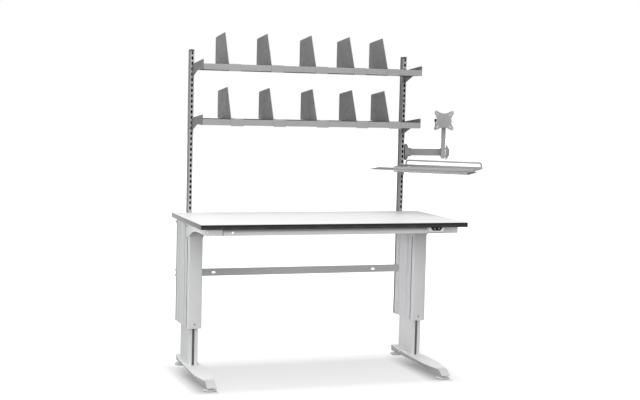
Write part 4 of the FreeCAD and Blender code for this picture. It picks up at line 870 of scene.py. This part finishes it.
# Floor: a plain white sweep that takes the table's soft shadow.
# Under the worktop and to the left of each foot it is painted darker, a painted shadow beyond the shade of
# the lamps.
bm = bmesh.new()
bmesh.ops.create_grid(bm, x_segments=1, y_segments=1, size=40.0)
mesh = bpy.data.meshes.new("floor")
bm.to_mesh(mesh)
bm.free()
floor = bpy.data.objects.new("floor", mesh)
bpy.context.scene.collection.objects.link(floor)
white = bpy.data.materials.new("White floor")
white.use_nodes = True
tree = white.node_tree
bsdf = tree.nodes["Principled BSDF"]
bsdf.inputs["Base Color"].default_value = (0.30, 0.30, 0.30, 1)
bsdf.inputs["Roughness"].default_value = 0.9
bsdf.inputs["Specular IOR Level"].default_value = 0.0
bsdf.inputs["Emission Color"].default_value = (1, 1, 1, 1)
paths = tree.nodes.new("ShaderNodeLightPath").outputs
seen = maths(tree, "MAXIMUM", paths["Is Camera Ray"], paths["Is Glossy Ray"])
board_half = (board_high - board_low) / 2
spot = tree.nodes.new("ShaderNodeTexCoord").outputs["Object"]
from_middle = shader_node(
    tree, "ShaderNodeVectorMath", {0: spot, 1: (board_low + board_high) / 2}, operation="SUBTRACT"
).outputs["Vector"]
apart = shader_node(tree, "ShaderNodeVectorMath", {0: from_middle}, operation="ABSOLUTE").outputs["Vector"]
beyond = shader_node(
    tree, "ShaderNodeVectorMath", {0: apart, 1: board_half}, operation="SUBTRACT"
).outputs["Vector"]
sides = shader_node(tree, "ShaderNodeSeparateXYZ", {"Vector": beyond}).outputs
outside = maths(tree, "MAXIMUM", sides["X"], sides["Y"])
# Painted shadow: the floor's lift is lower under the worktop and rises away from it.
near = spread(tree, outside, 0.60, 0.82, -0.08, 0.12)
far = spread(tree, outside, 0.0, 0.3, 0.3, 3.0)
lift_with_painted_shadow = maths(tree, "ADD", near, far)
spots = shader_node(tree, "ShaderNodeSeparateXYZ", {"Vector": from_middle}).outputs
FOOT_SHADE, SHADE_REACH, FOOT_NEAR, FOOT_HALF, SHADE_END = 0.36, 0.12, 0.045, 0.034, 0.15
TOE_FADE, HEEL_FADE = (-0.36, -0.28), (0.10, 0.40)
from_foot = maths(tree, "WRAP", maths(tree, "ADD", spots["X"], LEG_X), LEG_X, -LEG_X)
# Painted shadow to the left of each foot.
shade = spread(tree, from_foot, 0.0, FOOT_SHADE, -SHADE_REACH, -FOOT_NEAR)
for limit in (
    maths(tree, "LESS_THAN", from_foot, FOOT_HALF),
    maths(tree, "LESS_THAN", sides["X"], SHADE_END),
    spread(tree, spots["Y"], 0.0, 1.0, *TOE_FADE),
    spread(tree, spots["Y"], 1.0, 0.0, *HEEL_FADE),
):
    shade = maths(tree, "MULTIPLY", shade, limit)
lift = maths(tree, "MULTIPLY", seen, maths(tree, "SUBTRACT", lift_with_painted_shadow, shade))
tree.links.new(lift, bsdf.inputs["Emission Strength"])
mesh.materials.append(white)


# Studio light: an even white surround and large soft lamps above, in front and to the left.
# A narrow lamp low on the left fills the inner side of the right leg.
world = bpy.data.worlds.new("White surround")
bpy.context.scene.world = world
world.use_nodes = True
tree = world.node_tree
tree.nodes.clear()
paths = tree.nodes.new("ShaderNodeLightPath").outputs
mirrored = maths(tree, "MAXIMUM", paths["Is Camera Ray"], paths["Is Glossy Ray"])
shown = maths(tree, "MAXIMUM", mirrored, paths["Is Transmission Ray"])
ambient = shader_node(tree, "ShaderNodeBackground", {"Color": (1, 1, 1, 1), "Strength": 0.66}).outputs[0]
backdrop = shader_node(tree, "ShaderNodeBackground", {"Color": (1, 1, 1, 1), "Strength": 1.0}).outputs[0]
surround = shader_node(tree, "ShaderNodeMixShader", {0: shown, 1: ambient, 2: backdrop}).outputs[0]
shader_node(tree, "ShaderNodeOutputWorld", {"Surface": surround})


def soft_lamp(name, width, height, power, place, aim, spread_angle=180):
    """A flat lamp that faces aim."""
    data = bpy.data.lights.new(name, "AREA")
    data.shape = "RECTANGLE"
    data.size = width
    data.size_y = height
    data.spread = math.radians(spread_angle)
    data.energy = power
    lamp = bpy.data.objects.new(name, data)
    lamp.location = place
    lamp.rotation_euler = (Vector(aim) - Vector(place)).to_track_quat("-Z", "Y").to_euler()
    bpy.context.scene.collection.objects.link(lamp)


soft_lamp("overhead_lamp", 3.0, 3.0, 76, (-0.6, -1.5, 4.5), (0, 0, 0.8))
soft_lamp("front_lamp", 2.4, 2.4, 74, (-1.2, -4.8, 2.4), (0, 0, 0.8))
soft_lamp("side_lamp", 4.5, 4.5, 230, (-8.5, -4.5, 1.2), (0, 0, 0.6))
soft_lamp("leg_lamp", 0.25, 1.0, 0.34, (-3.6, -0.66, 0.55), (0.53, 0.12, 0.5), 9)


# Camera: a long lens in front of the table and to its left, a metre and a half up and tilted slightly down.
# Its place, its tilt and its small roll were fitted to the photograph.
FOCAL_PIXELS, IMAGE_WIDTH = 1274, 640
CAMERA_PLACE = (-2.4428, -6.6935, 1.548)
azimuth, elevation, roll = math.radians(19.18), math.radians(4.64), math.radians(1.39)
level = Vector((math.sin(azimuth), math.cos(azimuth), 0))
forward = level * math.cos(elevation) - Vector((0, 0, math.sin(elevation)))
right = Vector((math.cos(azimuth), -math.sin(azimuth), 0))
above = right.cross(forward)
camera_x = math.cos(roll) * right + math.sin(roll) * above
camera_y = math.cos(roll) * above - math.sin(roll) * right
data = bpy.data.cameras.new("camera")
data.sensor_width = 36
data.lens = FOCAL_PIXELS * data.sensor_width / IMAGE_WIDTH
camera = bpy.data.objects.new("camera", data)
facing = Matrix((camera_x, camera_y, -forward)).transposed().to_4x4()
camera.matrix_world = Matrix.Translation(CAMERA_PLACE) @ facing
bpy.context.scene.collection.objects.link(camera)
bpy.context.scene.camera = camera
